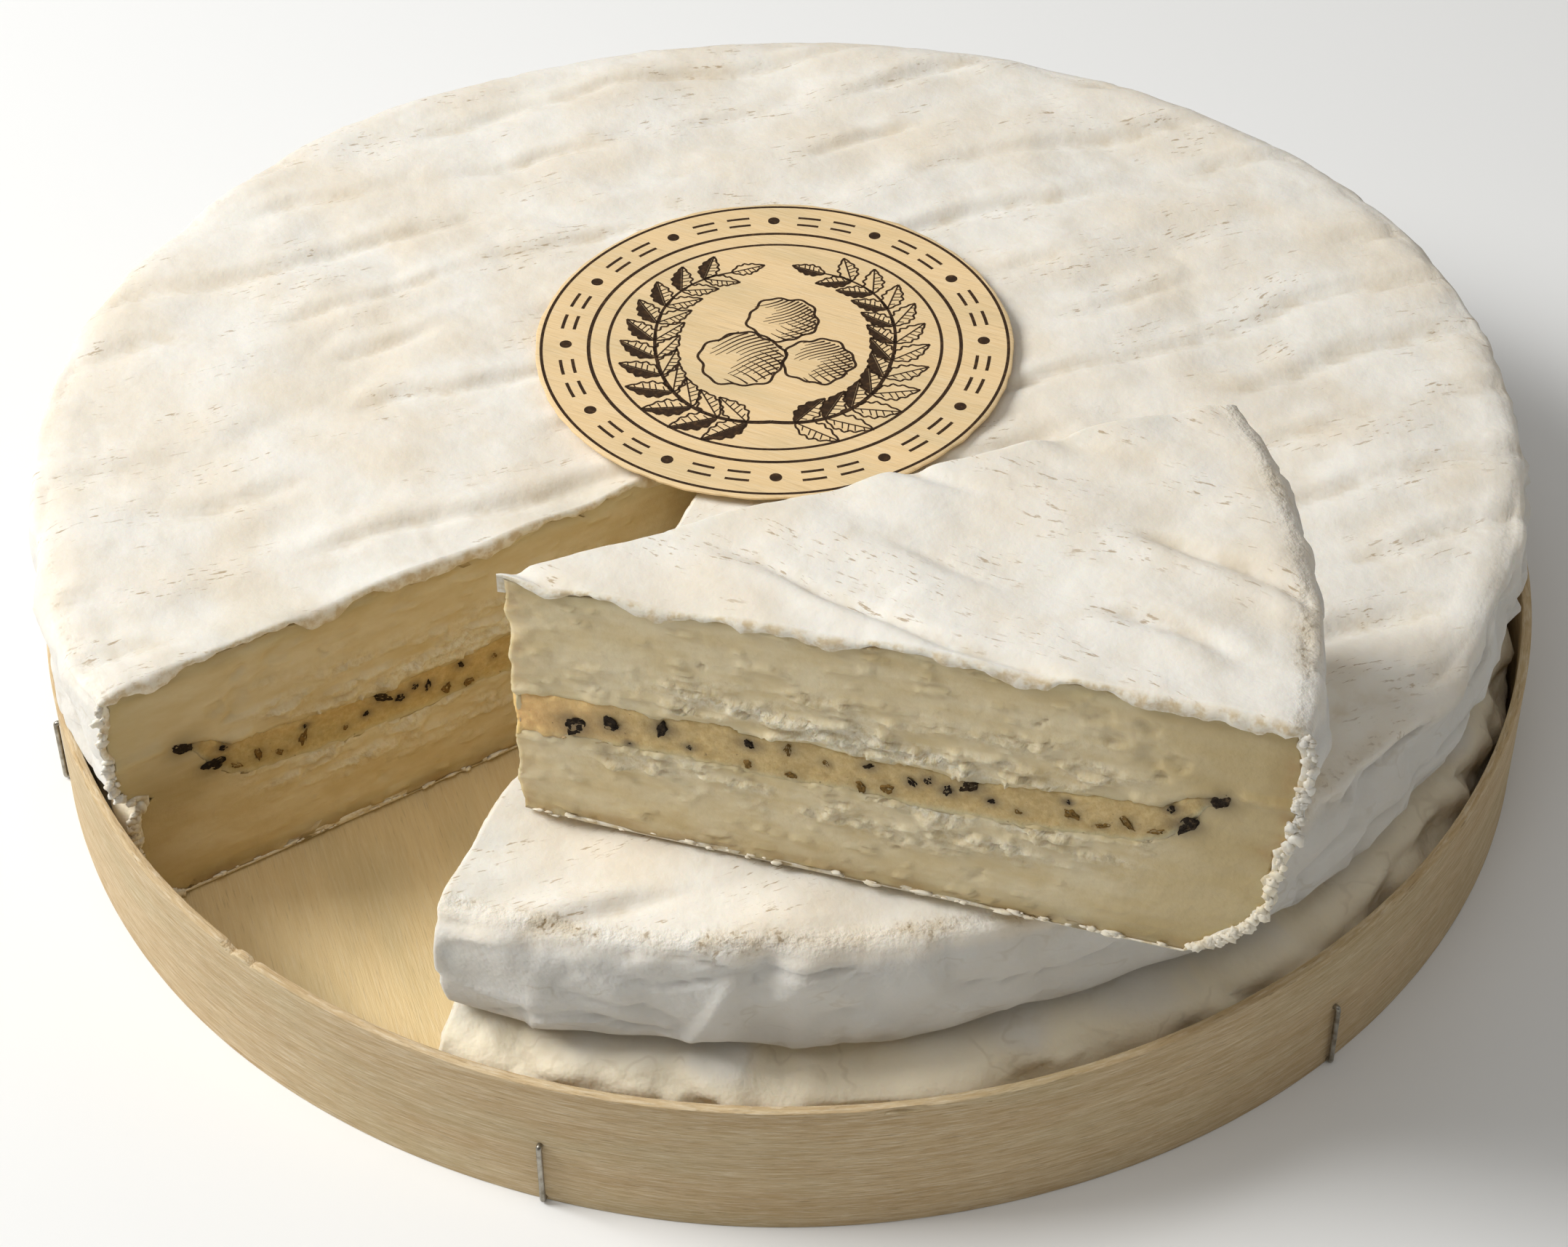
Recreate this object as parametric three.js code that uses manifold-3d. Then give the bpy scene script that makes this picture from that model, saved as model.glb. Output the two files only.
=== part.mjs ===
// A soft-ripened cheese wheel with a truffle filling, cut once, in the round veneer tray it is sold in.
// The slice that was cut from it lies on top, at the front. Millimetres, +Z up, origin at the middle of
// the tray's underside, -Y towards the front.
import * as THREE from "three";
import { mergeVertices } from "three/addons/utils/BufferGeometryUtils.js";
import Module from "manifold-3d";

const wasm = await Module();
wasm.setup();

// Driving dimensions.
const GAP = 0.3; // between pieces that touch
const ROUND_STEPS = 72; // sides of every large round

const HOOP_OUTER_RADIUS = 103;
const HOOP_THICKNESS = 1.4;
const HOOP_HEIGHT = 21.6;
const HOOP_INNER_RADIUS = HOOP_OUTER_RADIUS - HOOP_THICKNESS;
const SEAM_START = 43; // degrees: where the strip's inner end begins, at the back right
const SEAM_OVERLAP = 25;
const SEAM_RAMP = 25; // the stretch over which the strip climbs onto its own end

const BASE_THICKNESS = 2;
const BASE_RADIUS = HOOP_INNER_RADIUS - GAP;

// The cheese was halved level, filled and closed again. The lower half fills the tray, and the upper
// half has settled a little off centre and slightly oval.
const WHEEL_BOTTOM = BASE_THICKNESS + GAP;
const WHEEL_HEIGHT = 40;
const WHEEL_TOP = WHEEL_BOTTOM + WHEEL_HEIGHT;
const LOWER_RADIUS = 100.1;
const UPPER_RADIUS = 100;
const UPPER_CENTRE = new THREE.Vector2(-1.6, 2.2);
const UPPER_OVAL = 0.027; // how much longer its long half-axis is, and shorter its short one
const OVAL_TURN = 11; // degrees, of the long axis from +X
const FOLD_HEIGHT = 19.2; // of the fold where the halves meet, above the wheel's underside
const FOLD_INSET = 5; // how far the fold is tucked in

const FILLING_RADIUS = 88;
const FILLING_THICKNESS = 6.6;
const FILLING_MIDDLE = WHEEL_BOTTOM + 18.3;

// The two cuts leave from one point near the middle, and the slice between them is about a tenth.
const CUT_APEX = new THREE.Vector2(-7, -0.8);
const CUT_START = 212.3; // degrees from +X
const CUT_ANGLE = 35.6;
const KERF = 0.4; // what the knife took from each face of the slice
const SLICE_TIP = new THREE.Vector2(-34.6, -72.2); // where the slice's point lies on the wheel
const SLICE_TURN = 130.3; // degrees it was turned on its way up

const LABEL_RADIUS = 33.5;
const LABEL_THICKNESS = 0.5;
const LABEL_CENTRE = new THREE.Vector2(-1.6, 17.8);

const WIRE_RADIUS = 0.38;
const WIRE_SIDES = 8;
const WIRE_STEPS = 22;
const WIRE_BEND = 0.6; // how far a bend cuts its corner
const WIRE_HOLE = 2 * (WIRE_RADIUS + GAP);
const STAPLE_ANGLES = [10, 73, 133, 193, 252.5, 311.5]; // degrees
const STAPLE_TOP = 10.5;
const STAPLE_UNDER = 0.55; // height of the lower leg, pressed into the base's underside
const STAPLE_REACH = 6; // of the lower leg, in from the base's edge
const STAPLE_LEG = 3; // the end that is turned down inside the wall
const SEAM_STAPLE_WIDTH = 8;
const SEAM_STAPLE_LEG = 2;
const SEAM_STAPLE_HEIGHTS = [6.5, 15.5];

const radians = THREE.MathUtils.degToRad;

// The exact solid of a closed geometry.
function solidOf(geometry) {
  const bare = geometry.clone();
  bare.deleteAttribute("normal");
  bare.deleteAttribute("uv");
  const merged = mergeVertices(bare, 1e-3);
  const kept = [];
  for (let i = 0; i < merged.index.count; i += 3) {
    const corners = [0, 1, 2].map((k) => merged.index.getX(i + k));
    if (new Set(corners).size === 3) kept.push(...corners);
  }
  return new wasm.Manifold(
    new wasm.Mesh({
      numProp: 3,
      vertProperties: new Float32Array(merged.attributes.position.array),
      triVerts: new Uint32Array(kept),
    }),
  );
}

// A solid as a flat-shaded geometry.
function geometryOf(solid) {
  const mesh = solid.getMesh();
  const geometry = new THREE.BufferGeometry();
  geometry.setAttribute("position", new THREE.BufferAttribute(mesh.vertProperties, 3));
  geometry.setIndex(new THREE.BufferAttribute(mesh.triVerts, 1));
  const flat = geometry.toNonIndexed();
  flat.computeVertexNormals();
  return flat;
}

function piece(name, geometry, colour, roughness, metalness = 0) {
  const material = new THREE.MeshStandardMaterial({ color: colour, roughness, metalness });
  const mesh = new THREE.Mesh(geometry, material);
  mesh.name = name;
  return mesh;
}

// A profile of [radius, height] pairs turned about +Z.
function turned(profile) {
  const points = profile.map(([r, z]) => new THREE.Vector2(r, z));
  return new THREE.LatheGeometry(points, ROUND_STEPS).rotateX(Math.PI / 2);
}

// The lower half, from its rounded bottom rim up to the fold and a little way into the upper half.
function lowerHalf() {
  const fold = WHEEL_BOTTOM + FOLD_HEIGHT;
  return turned([
    [0, WHEEL_BOTTOM],
    [LOWER_RADIUS - 6.7, WHEEL_BOTTOM],
    [LOWER_RADIUS - 2.7, WHEEL_BOTTOM + 1.3],
    [LOWER_RADIUS - 0.6, WHEEL_BOTTOM + 4.2],
    [LOWER_RADIUS, WHEEL_BOTTOM + 8],
    [LOWER_RADIUS, fold - 6],
    [LOWER_RADIUS - 1.2, fold - 3],
    [LOWER_RADIUS - FOLD_INSET, fold],
    [LOWER_RADIUS - 2 * FOLD_INSET, fold + 1],
    [0, fold + 1],
  ]);
}

// The upper half, from the fold to its flat top with a rounded rim.
function upperHalf() {
  const fold = WHEEL_BOTTOM + FOLD_HEIGHT;
  const round = turned([
    [0, fold - 1],
    [UPPER_RADIUS - 2 * FOLD_INSET, fold - 1],
    [UPPER_RADIUS - FOLD_INSET, fold],
    [UPPER_RADIUS - 2.2, fold + 2],
    [UPPER_RADIUS - 0.8, fold + 6],
    [UPPER_RADIUS, WHEEL_TOP - 8],
    [UPPER_RADIUS - 0.3, WHEEL_TOP - 4.2],
    [UPPER_RADIUS - 1.5, WHEEL_TOP - 1.6],
    [UPPER_RADIUS - 3.4, WHEEL_TOP - 0.4],
    [UPPER_RADIUS - 6.1, WHEEL_TOP],
    [0, WHEEL_TOP],
  ]);
  return round
    .rotateZ(radians(-OVAL_TURN))
    .scale(1 + UPPER_OVAL, 1 - UPPER_OVAL, 1)
    .rotateZ(radians(OVAL_TURN))
    .translate(UPPER_CENTRE.x, UPPER_CENTRE.y, 0);
}

// The truffle layer, a thin round with a tapered edge, grown by a margin on every side.
function fillingDisc(margin) {
  const half = FILLING_THICKNESS / 2 + margin;
  const radius = FILLING_RADIUS + margin;
  return turned([
    [0, FILLING_MIDDLE - half],
    [radius - 5, FILLING_MIDDLE - half],
    [radius - 1.6, FILLING_MIDDLE - half * 0.6],
    [radius, FILLING_MIDDLE],
    [radius - 1.6, FILLING_MIDDLE + half * 0.6],
    [radius - 5, FILLING_MIDDLE + half],
    [0, FILLING_MIDDLE + half],
  ]);
}

// The upright prism between the two cuts, each face moved by inset into it.
function cutPrism(inset) {
  const reach = 3 * UPPER_RADIUS;
  const start = radians(CUT_START);
  const end = radians(CUT_START + CUT_ANGLE);
  const middle = (start + end) / 2;
  const shift = inset / Math.sin((end - start) / 2);
  const x = CUT_APEX.x + shift * Math.cos(middle);
  const y = CUT_APEX.y + shift * Math.sin(middle);
  const outline = new THREE.Shape([
    new THREE.Vector2(x, y),
    new THREE.Vector2(x + reach * Math.cos(start), y + reach * Math.sin(start)),
    new THREE.Vector2(x + reach * Math.cos(end), y + reach * Math.sin(end)),
  ]);
  const prism = new THREE.ExtrudeGeometry(outline, { depth: 3 * WHEEL_HEIGHT, bevelEnabled: false });
  return prism.translate(0, 0, -WHEEL_HEIGHT);
}

// Takes a piece of the slice from where it was cut to where it lies.
function laidOnTop(mesh) {
  const turned = new THREE.Group();
  turned.position.set(SLICE_TIP.x, SLICE_TIP.y, WHEEL_HEIGHT + GAP);
  turned.rotation.z = radians(SLICE_TURN);
  mesh.position.set(-CUT_APEX.x, -CUT_APEX.y, 0);
  turned.add(mesh);
  return turned;
}

// The tray's wall: one bent strip whose outer end laps over its inner end.
function hoopOutline() {
  const climb = HOOP_THICKNESS + GAP;
  const sweep = 360 + SEAM_OVERLAP;
  const steps = Math.round((ROUND_STEPS * sweep) / 360);
  const point = (step, offset) => {
    const along = (sweep * step) / steps;
    const ramp = THREE.MathUtils.smoothstep(along, 360 - SEAM_RAMP, 360);
    const radius = HOOP_INNER_RADIUS + climb * ramp + offset;
    const angle = radians(SEAM_START + along);
    return new THREE.Vector2(radius * Math.cos(angle), radius * Math.sin(angle));
  };
  const outer = [];
  const inner = [];
  for (let step = 0; step <= steps; step++) {
    outer.push(point(step, HOOP_THICKNESS));
    inner.unshift(point(step, 0));
  }
  return new THREE.Shape([...outer, ...inner]);
}

// A wire bent through the given points.
function bentWire(points) {
  const path = new THREE.CatmullRomCurve3(points, false, "catmullrom", 0.12);
  const section = new THREE.Shape();
  for (let side = 0; side < WIRE_SIDES; side++) {
    const angle = (2 * Math.PI * side) / WIRE_SIDES;
    const [x, y] = [WIRE_RADIUS * Math.cos(angle), WIRE_RADIUS * Math.sin(angle)];
    if (side === 0) section.moveTo(x, y);
    else section.lineTo(x, y);
  }
  section.closePath();
  return new THREE.ExtrudeGeometry(section, { extrudePath: path, steps: WIRE_STEPS });
}

// A staple that ties the wall to the base: one leg through the wall and turned down inside it, the back
// down the outside, and the other leg under the base and up into it.
function hoopStaple(angle) {
  const inside = HOOP_INNER_RADIUS - 2 * WIRE_RADIUS;
  const outside = HOOP_OUTER_RADIUS + 1.2 * WIRE_RADIUS;
  const profile = [
    [inside, STAPLE_TOP - STAPLE_LEG],
    [inside, STAPLE_TOP - WIRE_BEND],
    [inside + WIRE_BEND, STAPLE_TOP],
    [outside - WIRE_BEND, STAPLE_TOP],
    [outside, STAPLE_TOP - WIRE_BEND],
    [outside, STAPLE_UNDER + WIRE_BEND],
    [outside - WIRE_BEND, STAPLE_UNDER],
    [BASE_RADIUS - STAPLE_REACH + WIRE_BEND, STAPLE_UNDER],
    [BASE_RADIUS - STAPLE_REACH, STAPLE_UNDER + WIRE_BEND],
  ];
  return bentWire(profile.map(([r, z]) => new THREE.Vector3(r, 0, z))).rotateZ(radians(angle));
}

// The hole and the groove that a staple leaves in the wall and the base.
function hoopStapleHoles(angle) {
  const long = STAPLE_REACH + 8;
  const hole = new THREE.BoxGeometry(long, WIRE_HOLE, WIRE_HOLE);
  hole.translate(HOOP_OUTER_RADIUS, 0, STAPLE_TOP);
  const groove = new THREE.BoxGeometry(long, WIRE_HOLE, 2 * (STAPLE_UNDER + WIRE_BEND + WIRE_RADIUS));
  groove.translate(BASE_RADIUS - STAPLE_REACH + (long - WIRE_HOLE) / 2, 0, 0);
  return [hole, groove].map((cutter) => cutter.rotateZ(radians(angle)));
}

// A staple through both layers of the strip's lap, its legs turned up inside.
function seamStaple(height) {
  const inside = HOOP_INNER_RADIUS - 2 * WIRE_RADIUS;
  const outside = HOOP_OUTER_RADIUS + HOOP_THICKNESS + GAP + 1.2 * WIRE_RADIUS;
  const half = SEAM_STAPLE_WIDTH / 2;
  const points = [
    [inside, -half, height + SEAM_STAPLE_LEG],
    [inside, -half, height + WIRE_BEND],
    [inside + WIRE_BEND, -half, height],
    [outside - WIRE_BEND, -half, height],
    [outside, -half + WIRE_BEND, height],
    [outside, half - WIRE_BEND, height],
    [outside - WIRE_BEND, half, height],
    [inside + WIRE_BEND, half, height],
    [inside, half, height + WIRE_BEND],
    [inside, half, height + SEAM_STAPLE_LEG],
  ];
  const wire = bentWire(points.map(([x, y, z]) => new THREE.Vector3(x, y, z)));
  return wire.rotateZ(radians(SEAM_START + SEAM_OVERLAP / 2));
}

// The two holes of a seam staple through the lap.
function seamStapleHoles(height) {
  return [-1, 1].map((side) =>
    new THREE.BoxGeometry(10, WIRE_HOLE, WIRE_HOLE)
      .translate(HOOP_OUTER_RADIUS, (side * SEAM_STAPLE_WIDTH) / 2, height)
      .rotateZ(radians(SEAM_START + SEAM_OVERLAP / 2)),
  );
}

// The solids.
const prism = solidOf(cutPrism(0));
const slicePrism = solidOf(cutPrism(KERF));
const cheese = solidOf(lowerHalf()).add(solidOf(upperHalf())).subtract(solidOf(fillingDisc(GAP)));
const filling = solidOf(fillingDisc(0));

const holes = [...STAPLE_ANGLES.flatMap(hoopStapleHoles), ...SEAM_STAPLE_HEIGHTS.flatMap(seamStapleHoles)];
const pierced = (geometry) =>
  holes.map(solidOf).reduce((left, hole) => left.subtract(hole), solidOf(geometry));

const hoop = new THREE.ExtrudeGeometry(hoopOutline(), { depth: HOOP_HEIGHT, bevelEnabled: false });
const base = new THREE.CylinderGeometry(BASE_RADIUS, BASE_RADIUS, BASE_THICKNESS, ROUND_STEPS)
  .rotateX(Math.PI / 2)
  .translate(0, 0, BASE_THICKNESS / 2);
const label = new THREE.CylinderGeometry(LABEL_RADIUS, LABEL_RADIUS, LABEL_THICKNESS, ROUND_STEPS)
  .rotateX(Math.PI / 2)
  .translate(LABEL_CENTRE.x, LABEL_CENTRE.y, WHEEL_TOP + GAP + LABEL_THICKNESS / 2);

// The object.
const VENEER = 0xc9b083;
const RIND = 0xefebe0;
const TRUFFLE_CREAM = 0xb89a5c;
const STEEL = 0x8f8d88;

const part = new THREE.Group();
part.add(piece("box_base", geometryOf(pierced(base)), VENEER, 0.75));
part.add(piece("box_hoop", geometryOf(pierced(hoop)), VENEER, 0.75));
STAPLE_ANGLES.forEach((angle, i) => {
  part.add(piece(`hoop_staple_${i + 1}`, hoopStaple(angle), STEEL, 0.35, 1));
});
SEAM_STAPLE_HEIGHTS.forEach((height, i) => {
  part.add(piece(`seam_staple_${i + 1}`, seamStaple(height), STEEL, 0.35, 1));
});
part.add(piece("cheese_wheel", geometryOf(cheese.subtract(prism)), RIND, 0.85));
part.add(piece("wheel_filling", geometryOf(filling.subtract(prism)), TRUFFLE_CREAM, 0.6));
part.add(piece("label", label, VENEER, 0.7));
part.add(laidOnTop(piece("cheese_slice", geometryOf(cheese.intersect(slicePrism)), RIND, 0.85)));
part.add(laidOnTop(piece("slice_filling", geometryOf(filling.intersect(slicePrism)), TRUFFLE_CREAM, 0.6)));

export default part;
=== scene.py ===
"""A truffle brie in its veneer tray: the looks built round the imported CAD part. Lengths are in millimetres
until a mesh is made, and points are in the frame's axes, +Z up and -Y to the front."""

import itertools
import math

import bmesh
import bpy
import numpy as np
from mathutils import Matrix


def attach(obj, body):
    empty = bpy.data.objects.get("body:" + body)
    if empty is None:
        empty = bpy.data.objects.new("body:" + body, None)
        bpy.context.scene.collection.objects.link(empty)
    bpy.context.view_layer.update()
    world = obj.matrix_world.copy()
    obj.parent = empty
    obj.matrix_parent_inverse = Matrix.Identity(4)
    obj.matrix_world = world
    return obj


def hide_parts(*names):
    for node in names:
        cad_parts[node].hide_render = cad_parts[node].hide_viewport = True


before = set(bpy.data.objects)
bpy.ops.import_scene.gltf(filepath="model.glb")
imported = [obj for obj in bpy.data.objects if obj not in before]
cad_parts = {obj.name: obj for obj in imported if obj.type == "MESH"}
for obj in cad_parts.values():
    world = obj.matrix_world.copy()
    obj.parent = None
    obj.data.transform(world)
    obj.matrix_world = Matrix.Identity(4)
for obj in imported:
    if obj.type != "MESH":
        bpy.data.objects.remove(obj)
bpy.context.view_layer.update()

MM = 0.001

# The cheese has the CAD part's dimensions, and its side's lower shoulder is a little squarer here.
WHEEL_BOTTOM = 2.3
WHEEL_TOP = 42.3
FOLD = 21.5
LOWER_RADIUS = 100.1
UPPER_RADIUS = 100.0
UPPER_CENTRE = np.array([-1.6, 2.2])
UPPER_OVAL = 0.027
OVAL_TURN = math.radians(11)
APEX = np.array([-7.0, -0.8])
CUT_START = math.radians(212.3)
CUT_END = math.radians(247.9)
KERF_SHIFT = 1.3  # how far the slice's point lies from the notch's
PINCH = math.radians(267.5)  # where the side is pinched into a crease
SLICE_TIP = np.array([-34.6, -72.2])
SLICE_TURN = math.radians(130.3)
SLICE_LIFT = 40.3
CHEESE_SIDE = [  # (in from the radius, height, 0 for the lower half and 1 for the upper)
    (-6.7, 2.3, 0), (-2.7, 3.6, 0), (-0.7, 6.2, 0), (0, 9.5, 0), (0, 14.5, 0), (-0.4, 18.0, 0),
    (-1.4, 20.0, 0), (-3.6, 21.0, 0), (-5.8, 21.5, 0), (-6.6, 21.9, 0.6), (-3.4, 22.5, 1), (-1.4, 23.8, 1),
    (-0.5, 26.8, 1), (0, 34.3, 1), (-0.2, 38.4, 1), (-1.0, 40.9, 1), (-2.7, 42.0, 1), (-5.4, 42.3, 1),
]
SLICE_SIDE = [  # the slice's lower corner is pressed in
    (-10.5, 2.3, 0), (-7.0, 4.6, 0), (-3.4, 8.0, 0), (-1.1, 11.5, 0), (-0.6, 14.5, 0), (-1.4, 18.5, 0.2),
    (-2.0, 21.2, 0.5), (-1.5, 23.5, 0.8), (-0.6, 27.5, 1), (0, 34.3, 1), (-0.2, 38.4, 1), (-1.0, 40.9, 1),
    (-2.7, 42.0, 1), (-5.4, 42.3, 1),
]
MAT_TURN = math.radians(20)  # the straws of the drying mat left lines in the top
MAT_PITCH = 12.5

# How finely the rind is made.
ROW_SPACING = 0.72
TOP_ROWS = 150
CUT_COLUMNS = 9  # close together beside each cut
CUT_ANGLE = 0.075
INNER_DEPTH = 3.0  # from the outside to the rind's inner skin, which the paste hides

# The tray.
HOOP_INNER = 101.6
HOOP_THICKNESS = 1.4
HOOP_HEIGHT = 21.6
HOOP_CLIMB = 1.7
SEAM_START = 43.0
SEAM_OVERLAP = 25.0
BASE_RADIUS = 101.3
BASE_THICKNESS = 2.0
WIRE = 0.38  # the radius
WIRE_STEP = 0.12
WIRE_ROUNDING = 4
SHARP = math.radians(40)  # an edge that turns more is not shaded smooth
STAPLE_ANGLES = [10, 73, 133, 193, 252.5, 311.5]
SEAM_STAPLE_HEIGHTS = [6.5, 15.5]
LABEL_CENTRE = np.array([-1.6, 17.8])
LABEL_RADIUS = 33.5
LABEL_BOTTOM = 42.6
LABEL_THICKNESS = 0.5


# ---- numbers -------------------------------------------------------------------------------------------

def smoothstep(low, high, x):
    t = np.clip((x - low) / (high - low), 0, 1)
    return t * t * (3 - 2 * t)


def lin(*rgb):
    """An 8-bit sRGB colour as a linear one."""
    c = np.array(rgb) / 255
    return (*np.where(c <= 0.04045, c / 12.92, ((c + 0.055) / 1.055) ** 2.4), 1.0)


def perlin(p, seed):
    """Gradient noise of about -1 to 1 at the points p, with one feature per unit of length."""
    rng = np.random.default_rng(seed)
    shuffle = np.tile(rng.permutation(256), 3)
    slopes = rng.normal(size=(256, 3))
    slopes /= np.linalg.norm(slopes, axis=1, keepdims=True)
    p = np.asarray(p, float)
    cell = np.floor(p).astype(int)
    f = p - cell
    fade = f * f * f * (f * (f * 6 - 15) + 10)
    total = np.zeros(p.shape[:-1])
    for corner in itertools.product((0, 1), repeat=3):
        c = (cell + corner) & 255
        pick = shuffle[shuffle[shuffle[c[..., 0]] + c[..., 1]] + c[..., 2]]
        weight = np.prod(np.where(corner, fade, 1 - fade), axis=-1)
        total += weight * np.sum((f - corner) * slopes[pick], axis=-1)
    return total * 1.6


def fbm(p, seed, octaves=4):
    """Noise in octaves, each twice as fine and half as high as the one before."""
    total, size = 0.0, 1.0
    for k in range(octaves):
        total = total + size * perlin(np.asarray(p) * 2**k, seed + 17 * k)
        size /= 2
    return total


def flat_noise(a, b, seed, octaves=1):
    a, b = np.broadcast_arrays(a, b)
    return fbm(np.stack([a, b, np.full(a.shape, 0.37)], -1), seed, octaves)


def crease(noise, width):
    """1 along the lines where a noise crosses zero."""
    return np.exp(-((noise / width) ** 2))


# ---- meshes --------------------------------------------------------------------------------------------

def grid_faces(rows, cols, wrap=False, start=0):
    r = np.arange(rows - 1)[:, None]
    c = np.arange(cols if wrap else cols - 1)[None, :]
    a, b = r * cols + c, r * cols + (c + 1) % cols
    return start + np.stack([a, b, b + cols, a + cols], -1).reshape(-1, 4)


def make(name, points, faces, material, marks=None, smooth=True, slot=None, nodes=()):
    """A piece of the object from points in mm and lists of faces. marks are named values of the points."""
    points = np.asarray(points, float).reshape(-1, 3) * MM
    corners = np.concatenate([np.asarray(f, int).ravel() for f in faces])
    sizes = np.concatenate([np.full(len(f), np.asarray(f).shape[1]) for f in faces])
    mesh = bpy.data.meshes.new(name)
    mesh.vertices.add(len(points))
    mesh.vertices.foreach_set("co", points.ravel())
    mesh.loops.add(len(corners))
    mesh.loops.foreach_set("vertex_index", corners)
    mesh.polygons.add(len(sizes))
    mesh.polygons.foreach_set("loop_start", np.concatenate([[0], np.cumsum(sizes)[:-1]]))
    mesh.update(calc_edges=True)
    for key, values in (marks or {}).items():
        values = np.asarray(values, float)
        is_vector = values.ndim > 1 and values.shape[-1] == 3
        kind, field = ("FLOAT_VECTOR", "vector") if is_vector else ("FLOAT", "value")
        mesh.attributes.new(key, kind, "POINT").data.foreach_set(field, values.ravel())
    work = bmesh.new()
    work.from_mesh(mesh)
    bmesh.ops.remove_doubles(work, verts=work.verts, dist=2e-6)
    bmesh.ops.recalc_face_normals(work, faces=work.faces)
    work.to_mesh(mesh)
    work.free()
    mesh.polygons.foreach_set("use_smooth", np.full(len(mesh.polygons), smooth))
    mesh.materials.append(material)
    mesh.update()
    piece = bpy.data.objects.new(name, mesh)
    bpy.context.scene.collection.objects.link(piece)
    if slot:
        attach(piece, "root")
    if nodes:
        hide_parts(*nodes)
    return piece


def merged(parts):
    """The points and faces of several (points, faces) pairs as one."""
    points, faces, start = [], [], 0
    for p, f in parts:
        points.append(p)
        faces += [np.asarray(x) + start for x in f]
        start += len(p)
    return np.concatenate(points), faces


# ---- the cheese's shape --------------------------------------------------------------------------------

def reach(apex, phi, inset, upper):
    """The distance from an apex along the directions phi to the side of one half of the cheese."""
    d = np.stack([np.cos(phi), np.sin(phi)], -1)
    if upper:
        c, s = math.cos(OVAL_TURN), math.sin(OVAL_TURN)
        turn = np.array([[c, -s], [s, c]])
        back = turn @ np.diag([1 / (1 + UPPER_OVAL), 1 / (1 - UPPER_OVAL)]) @ turn.T
        a, d, radius = back @ (apex - UPPER_CENTRE), d @ back.T, UPPER_RADIUS + inset
    else:
        a, radius = apex, LOWER_RADIUS + inset
    dd, ad = np.sum(d * d, -1), d @ a
    return (-ad + np.sqrt(ad**2 - dd * (a @ a - radius**2))) / dd


def bulge(phi, z):
    """Where the real outline leaves the oval, in mm."""
    def hump(middle, width):
        gap = (np.degrees(phi) - middle + 180) % 360 - 180
        return np.exp(-((gap / width) ** 2))
    upper = smoothstep(FOLD - 4, FOLD + 6, z)
    shape = -1.3 * hump(190, 14) * upper + 1.1 * hump(35, 26) + 1.1 * hump(135, 24) * upper
    wave = 0.5 * flat_noise(np.cos(phi) * 2.2, np.sin(phi) * 2.2 + z / 60, 5)
    return shape + wave


def side_distance(apex, phi, inset, z, half):
    """The distance from an apex to the side's profile. The fold is shallow on the left of the notch."""
    gap = (np.degrees(phi) - 205 + 180) % 360 - 180
    shallow = 0.6 * np.exp(-((gap / 26) ** 2)) * smoothstep(14, 18, z) * smoothstep(29, 25, z)
    inset = inset * (1 - shallow)
    low = reach(apex, phi, inset, False)
    high = reach(apex, phi, inset, True)
    return (1 - half) * low + half * high + np.minimum(bulge(phi, z), 1.6)


def side_rows(profile, spacing):
    """The side's profile as smooth, even steps."""
    p = np.array(profile, float)
    length = np.concatenate([[0], np.cumsum(np.hypot(*np.diff(p[:, :2], axis=0).T))])
    even = np.linspace(0, length[-1], int(length[-1] / spacing) + 1)
    p = np.stack([np.interp(even, length, p[:, k]) for k in range(3)], -1)
    for _ in range(int(2.2 / spacing**2) + 2):
        p[1:-1] = (p[:-2] + 2 * p[1:-1] + p[2:]) / 4
    return p


def mat_lanes(x, y):
    """How far along and across the drying mat's lines a point is."""
    c, s = math.cos(MAT_TURN), math.sin(MAT_TURN)
    along, across = x * c + y * s, y * c - x * s
    return along, across + 3.0 * flat_noise(x / 30, y / 30, 41) + 0.9 * flat_noise(x / 11, y / 11, 43)


def furrow_lines(x, y):
    """The mat's marks in the top: how much of a furrow and of the ridge beside it a point has."""
    along, across = mat_lanes(x, y)
    row = np.round(across / MAT_PITCH)
    gap = across - row * MAT_PITCH
    broken = smoothstep(-0.3, 0.25, flat_noise(along / 21, row * 3.7, 42))
    return np.exp(-((gap / 1.15) ** 2)) * broken, np.exp(-(((gap - 2.7) / 1.7) ** 2)) * broken


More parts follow.
